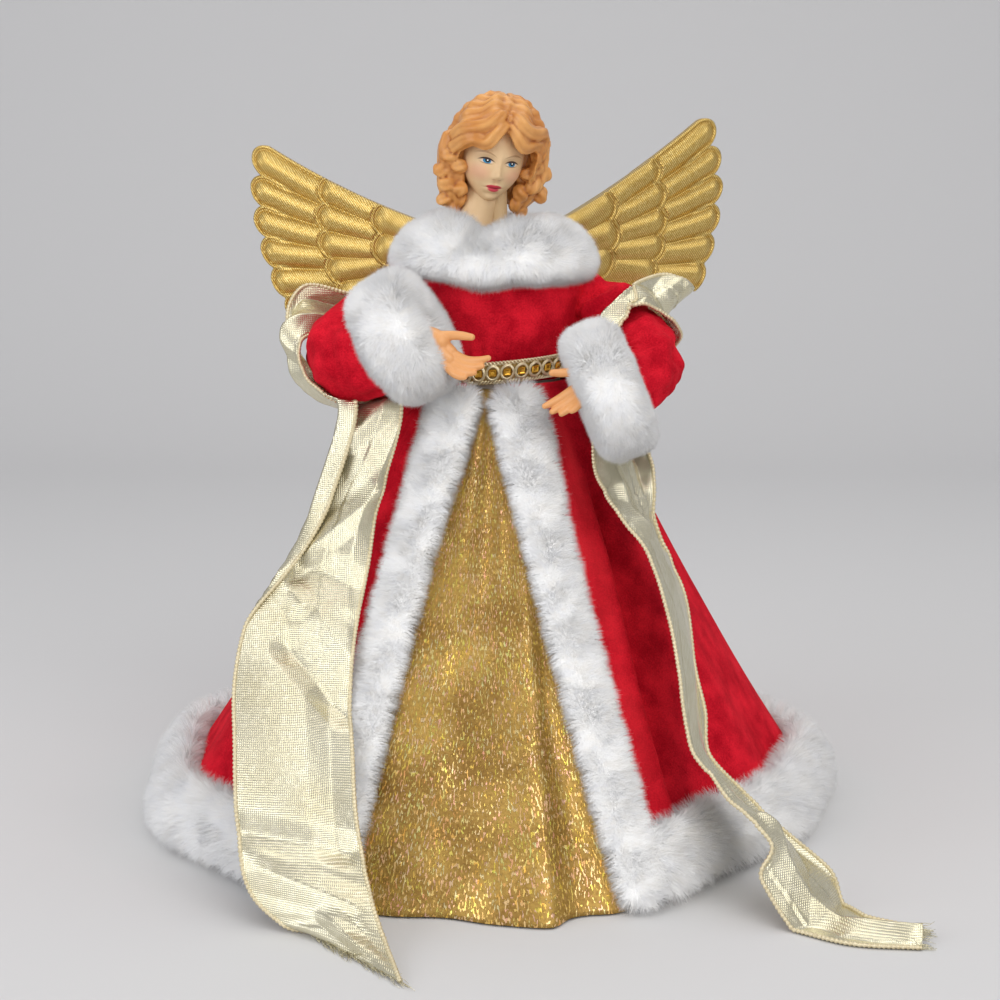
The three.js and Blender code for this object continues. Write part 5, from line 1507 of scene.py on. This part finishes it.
def mottled_finish(name, roughness, metallic, scale, detail, base, dark, light):
    """A finish whose colour wanders between two tones."""
    material, tree, shader = new_finish(name, base, roughness, metallic)
    tone = add_node(tree, "ShaderNodeTexNoise", Vector=place_of(tree), Scale=scale, Detail=detail)
    tree.links.new(colour_mix(tree, tone.outputs["Fac"], dark, light), shader.inputs["Base Color"])
    return material


RIBBON = champagne_ribbon()
EDGE_THREAD = mottled_finish("edge_thread", 0.4, 0.5, 900.0, 1.0,
                             (0.56, 0.40, 0.14), (0.60, 0.49, 0.27), (0.86, 0.78, 0.56))


def stitched_edge(line, radius=0.95, pitch=1.7):
    """A cord wrapped in overlocking stitches, along one edge of the ribbon."""
    steps = np.linalg.norm(np.diff(line, axis=0), axis=1)
    run = np.concatenate([[0], np.cumsum(steps)])
    at = np.linspace(0, run[-1], max(8, int(run[-1] / pitch * 4)))
    path = np.stack([np.interp(at, run, line[:, i]) for i in range(3)], -1)
    path[:, 2] = np.maximum(path[:, 2], radius + 0.25)
    return tube(path, radius * (0.82 + 0.22 * np.cos(2 * np.pi * at / pitch)), 7)


def sash_piece(name, first, last, body, replaces, blend=None):
    rows = slice(first * STEPS, last * STEPS + 1)
    part, normals = ribbon[rows], ribbon_normals[rows]
    count, columns = part.shape[:2]
    front = grid_faces(count, columns)
    first_side = np.arange(count - 1) * columns
    last_side = first_side + columns - 1
    ends = np.concatenate([np.arange(columns - 1), (count - 1) * columns + np.arange(columns - 1)])
    back = count * columns
    rims = [np.stack([first_side, first_side + columns, back + first_side + columns, back + first_side], -1),
            np.stack([last_side, last_side + columns, back + last_side + columns, back + last_side], -1),
            np.stack([ends, ends + 1, back + ends + 1, back + ends], -1)]
    both = np.concatenate([(part + normals * 0.18).reshape(-1, 3), (part - normals * 0.18).reshape(-1, 3)])
    cloth = make_object(name + "_ribbon", both, [front, front[:, ::-1] + back, *rims])
    ways = np.concatenate([normals.reshape(-1, 3), -normals.reshape(-1, 3)])
    cloth.data.normals_split_custom_set_from_vertices(ways)
    finish_piece(cloth, RIBBON, body, replaces)
    edges = [stitched_edge(part[:, 0]), stitched_edge(part[:, -1])]
    shapes = [(edge, capped_faces(edge)) for edge in edges]
    cord = mesh_piece(name + "_edges", *merge(shapes), EDGE_THREAD, body, "champagne_ribbon")
    if blend:
        for piece in (cloth, cord):
            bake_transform(piece)


def millimetres(*place):
    return tuple(value * MM for value in place)


sash_piece("sash_left_tail", 0, 9, "dress", ["sash_left_tail"])
sash_piece("sash_left_rise", 9, 12, None, ["sash_left_loop"],
           ("dress", "left_arm", millimetres(-58, -48, 168), millimetres(-80, -26, 188)))
sash_piece("sash_left_over", 12, 15, None, (),
           ("left_arm", "dress", millimetres(-87, -20, 195), millimetres(-66, 15, 208)))
sash_piece("sash_back", 15, 19, "dress", ["sash_back"])
sash_piece("sash_right_over", 19, 22, None, ["sash_right_loop"],
           ("dress", "right_arm", millimetres(60, 15, 208), millimetres(70, -15, 216)))
sash_piece("sash_right_rise", 22, 25, None, (),
           ("right_arm", "dress", millimetres(50, -22, 205), millimetres(54, -40, 162)))
sash_piece("sash_right_tail", 25, 37, "dress", ["sash_right_tail"])


# %% Frayed ends
def frayed_end(name, roots, way, count, length, seed):
    draw = np.random.default_rng(seed)
    at = draw.random(count) * (len(roots) - 1)
    root = through(roots, at)
    stray = draw.normal(size=(count, 3)) * 0.28
    tip = root + (unit(way) + stray) * length * draw.uniform(0.4, 1.2, (count, 1))
    tip[:, 2] = np.maximum(tip[:, 2], 0.35)
    shapes = []
    for a, b in zip(root - unit(way) * 0.6, tip):
        knee = (a + b) / 2 + draw.normal(size=3) * length * 0.08
        knee[2] = max(knee[2], 0.35)
        path = through([a, knee, b], np.linspace(0, 2, 7))
        thread = tube(path, np.linspace(0.16, 0.07, 7), 4)
        shapes.append((thread, capped_faces(thread)))
    mesh_piece(name, *merge(shapes), RIBBON, "dress", "champagne_ribbon")


frayed_end("sash_left_fray", ribbon[0], ribbon[0].mean(axis=0) - ribbon[6].mean(axis=0), 170, 5.5, 8)
frayed_end("sash_right_fray", ribbon[-1], ribbon[-1].mean(axis=0) - ribbon[-7].mean(axis=0), 60, 4.0, 9)


# %% [markdown]
# ## Belt
# The belt is a narrow gold braid: a woven band with a looped thread along each edge, and a row of square
# faceted sequins, each held in a ring of pale thread.

# %% Belt
BELT_UNITS = 32
WAIST_RADIUS = 29
BRAID_THREAD = 0.42


def belt_place(turn, up, out):
    """A place on the belt: turn round the waist, up from its middle line, out from the bodice."""
    turn = np.asarray(turn, float)
    z = 189.4 + 2.6 * np.sin(turn) + up
    return torso_ring(z, turn, 0.5 + out)


def belt_band(columns=320, rows=12):
    turn = np.linspace(0, 2 * np.pi, columns, endpoint=False)[None]
    up = np.linspace(-3.7, 3.7, rows)[:, None]
    weave = 0.18 * np.cos(turn * 160) * np.cos(up * 3)
    outside = belt_place(turn, up, 1.0 + weave)
    inside = belt_place(turn, up[::-1], 0.2 + 0 * turn)
    return np.concatenate([outside, inside])


def closed_tube(path, radius, columns=6):
    """A thread whose end meets its start."""
    ahead = unit(np.roll(path, -1, axis=0) - np.roll(path, 1, axis=0))
    across = unit(np.cross(ahead, [0.01, 0.02, 1]))
    other = np.cross(across, ahead)
    turn = np.linspace(0, 2 * np.pi, columns, endpoint=False)
    ring = across[:, None] * np.cos(turn)[None, :, None] + other[:, None] * np.sin(turn)[None, :, None]
    return path[:, None] + radius * ring


def belt_threads():
    shapes = []
    turn = np.linspace(0, 2 * np.pi, BELT_UNITS * 24, endpoint=False)
    for side in (-1, 1):
        for phase in (0, math.pi):
            wave = turn * BELT_UNITS * 2 + phase
            loops = belt_place(turn, side * (3.9 + 0.6 * np.cos(wave)), 1.0 + 0.35 * np.sin(wave))
            ring = closed_tube(loops, BRAID_THREAD)
            shapes.append((ring, [grid_faces(*ring.shape[:2], ring=True, loop=True)]))
    angle = np.linspace(0, 2 * np.pi, 28, endpoint=False)
    for i in range(BELT_UNITS):
        middle = 2 * np.pi * (i + 0.5) / BELT_UNITS
        for grow in (0.0, 0.55):
            wide, high = 2.3 + grow * 0.5, 2.7 + grow * 0.7
            out = 1.9 - grow * 0.6 + 0.2 * np.cos(3 * angle)
            loop = belt_place(middle + wide * np.cos(angle) / WAIST_RADIUS, high * np.sin(angle), out)
            ring = closed_tube(loop, BRAID_THREAD)
            shapes.append((ring, [grid_faces(*ring.shape[:2], ring=True, loop=True)]))
    return shapes


def belt_sequins():
    """Small square cups of foil: a raised rim, sloping facets and a sunk middle."""
    shapes = []
    turn = np.linspace(0, 2 * np.pi, 4, endpoint=False) + math.pi / 4
    for i in range(BELT_UNITS):
        middle = 2 * np.pi * (i + 0.5) / BELT_UNITS
        rows = []
        for half, out in ((1.5, 1.1), (1.55, 1.9), (1.1, 2.4), (0.6, 2.1), (0.05, 2.05)):
            x, y = half * np.cos(turn) * 1.35, half * np.sin(turn) * 1.35
            rows.append(belt_place(middle + x / WAIST_RADIUS, y, out))
        cup = np.array(rows)
        shapes.append((cup, capped_faces(cup)))
    return shapes


PALE_THREAD = mottled_finish("pale_gold_thread", 0.35, 0.6, 1600.0, 1.0,
                             (0.72, 0.58, 0.30), (0.70, 0.57, 0.32), (0.92, 0.84, 0.62))
BRAID = mottled_finish("braid_band", 0.45, 0.5, 1200.0, 2.0,
                       (0.36, 0.22, 0.06), (0.20, 0.11, 0.025), (0.50, 0.34, 0.11))
SEQUIN = mottled_finish("amber_sequin", 0.18, 0.8, 300.0, 1.0,
                        (0.72, 0.38, 0.04), (0.58, 0.27, 0.02), (0.85, 0.52, 0.08))
band = belt_band()
band_faces = [grid_faces(*band.shape[:2], ring=True, loop=True)]
mesh_piece("waist_belt_band", band, band_faces, BRAID, "dress", "gold_braid", ["waist_belt"])
mesh_piece("waist_belt_threads", *merge(belt_threads()), PALE_THREAD, "dress", "gold_braid")
mesh_piece("waist_belt_sequins", *merge(belt_sequins()), SEQUIN, "dress", "gold_braid", smooth=False)


# %% [markdown]
# ## Inside pieces
# The cone, the neck peg, the stuffed body and the wires keep the shapes of the solids. They show only from
# below or through a gap, and get plain finishes: paper board, bare wood, wadding and steel wire.

# %% Finishes of the inside pieces
def inside_finish(name, dark, light, scale, roughness, metallic=0.0, stretch=(1, 1, 1)):
    material, tree, shader = new_finish(name, light, roughness, metallic)
    stretched = add_node(tree, "ShaderNodeMapping", Vector=place_of(tree), Scale=stretch)
    grain = add_node(tree, "ShaderNodeTexNoise", Vector=stretched.outputs["Vector"], Scale=scale, Detail=4.0)
    tree.links.new(colour_mix(tree, grain.outputs["Fac"], dark, light), shader.inputs["Base Color"])
    bump(tree, shader, grain.outputs["Fac"], 0.0005, 0.3)
    return material


def dress_node(names, material):
    for node in names:
        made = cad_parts[node]
        made.data.materials.clear()
        made.data.materials.append(material)
    print("finished", names)


dress_node(["support_cone"], inside_finish("cone_board", (0.42, 0.32, 0.19), (0.60, 0.49, 0.31), 240.0, 0.9))
dress_node(["neck_peg"], inside_finish("peg_wood", (0.50, 0.33, 0.16), (0.72, 0.52, 0.29), 300.0, 0.6,
                                       stretch=(1, 1, 0.1)))
dress_node(["torso_form"], inside_finish("stuffing", (0.68, 0.64, 0.56), (0.83, 0.80, 0.73), 350.0, 0.95))
dress_node(["shoulder_wire", "left_arm_wire", "right_arm_wire"],
           inside_finish("arm_wire", (0.30, 0.31, 0.33), (0.48, 0.49, 0.51), 700.0, 0.35, 0.9))
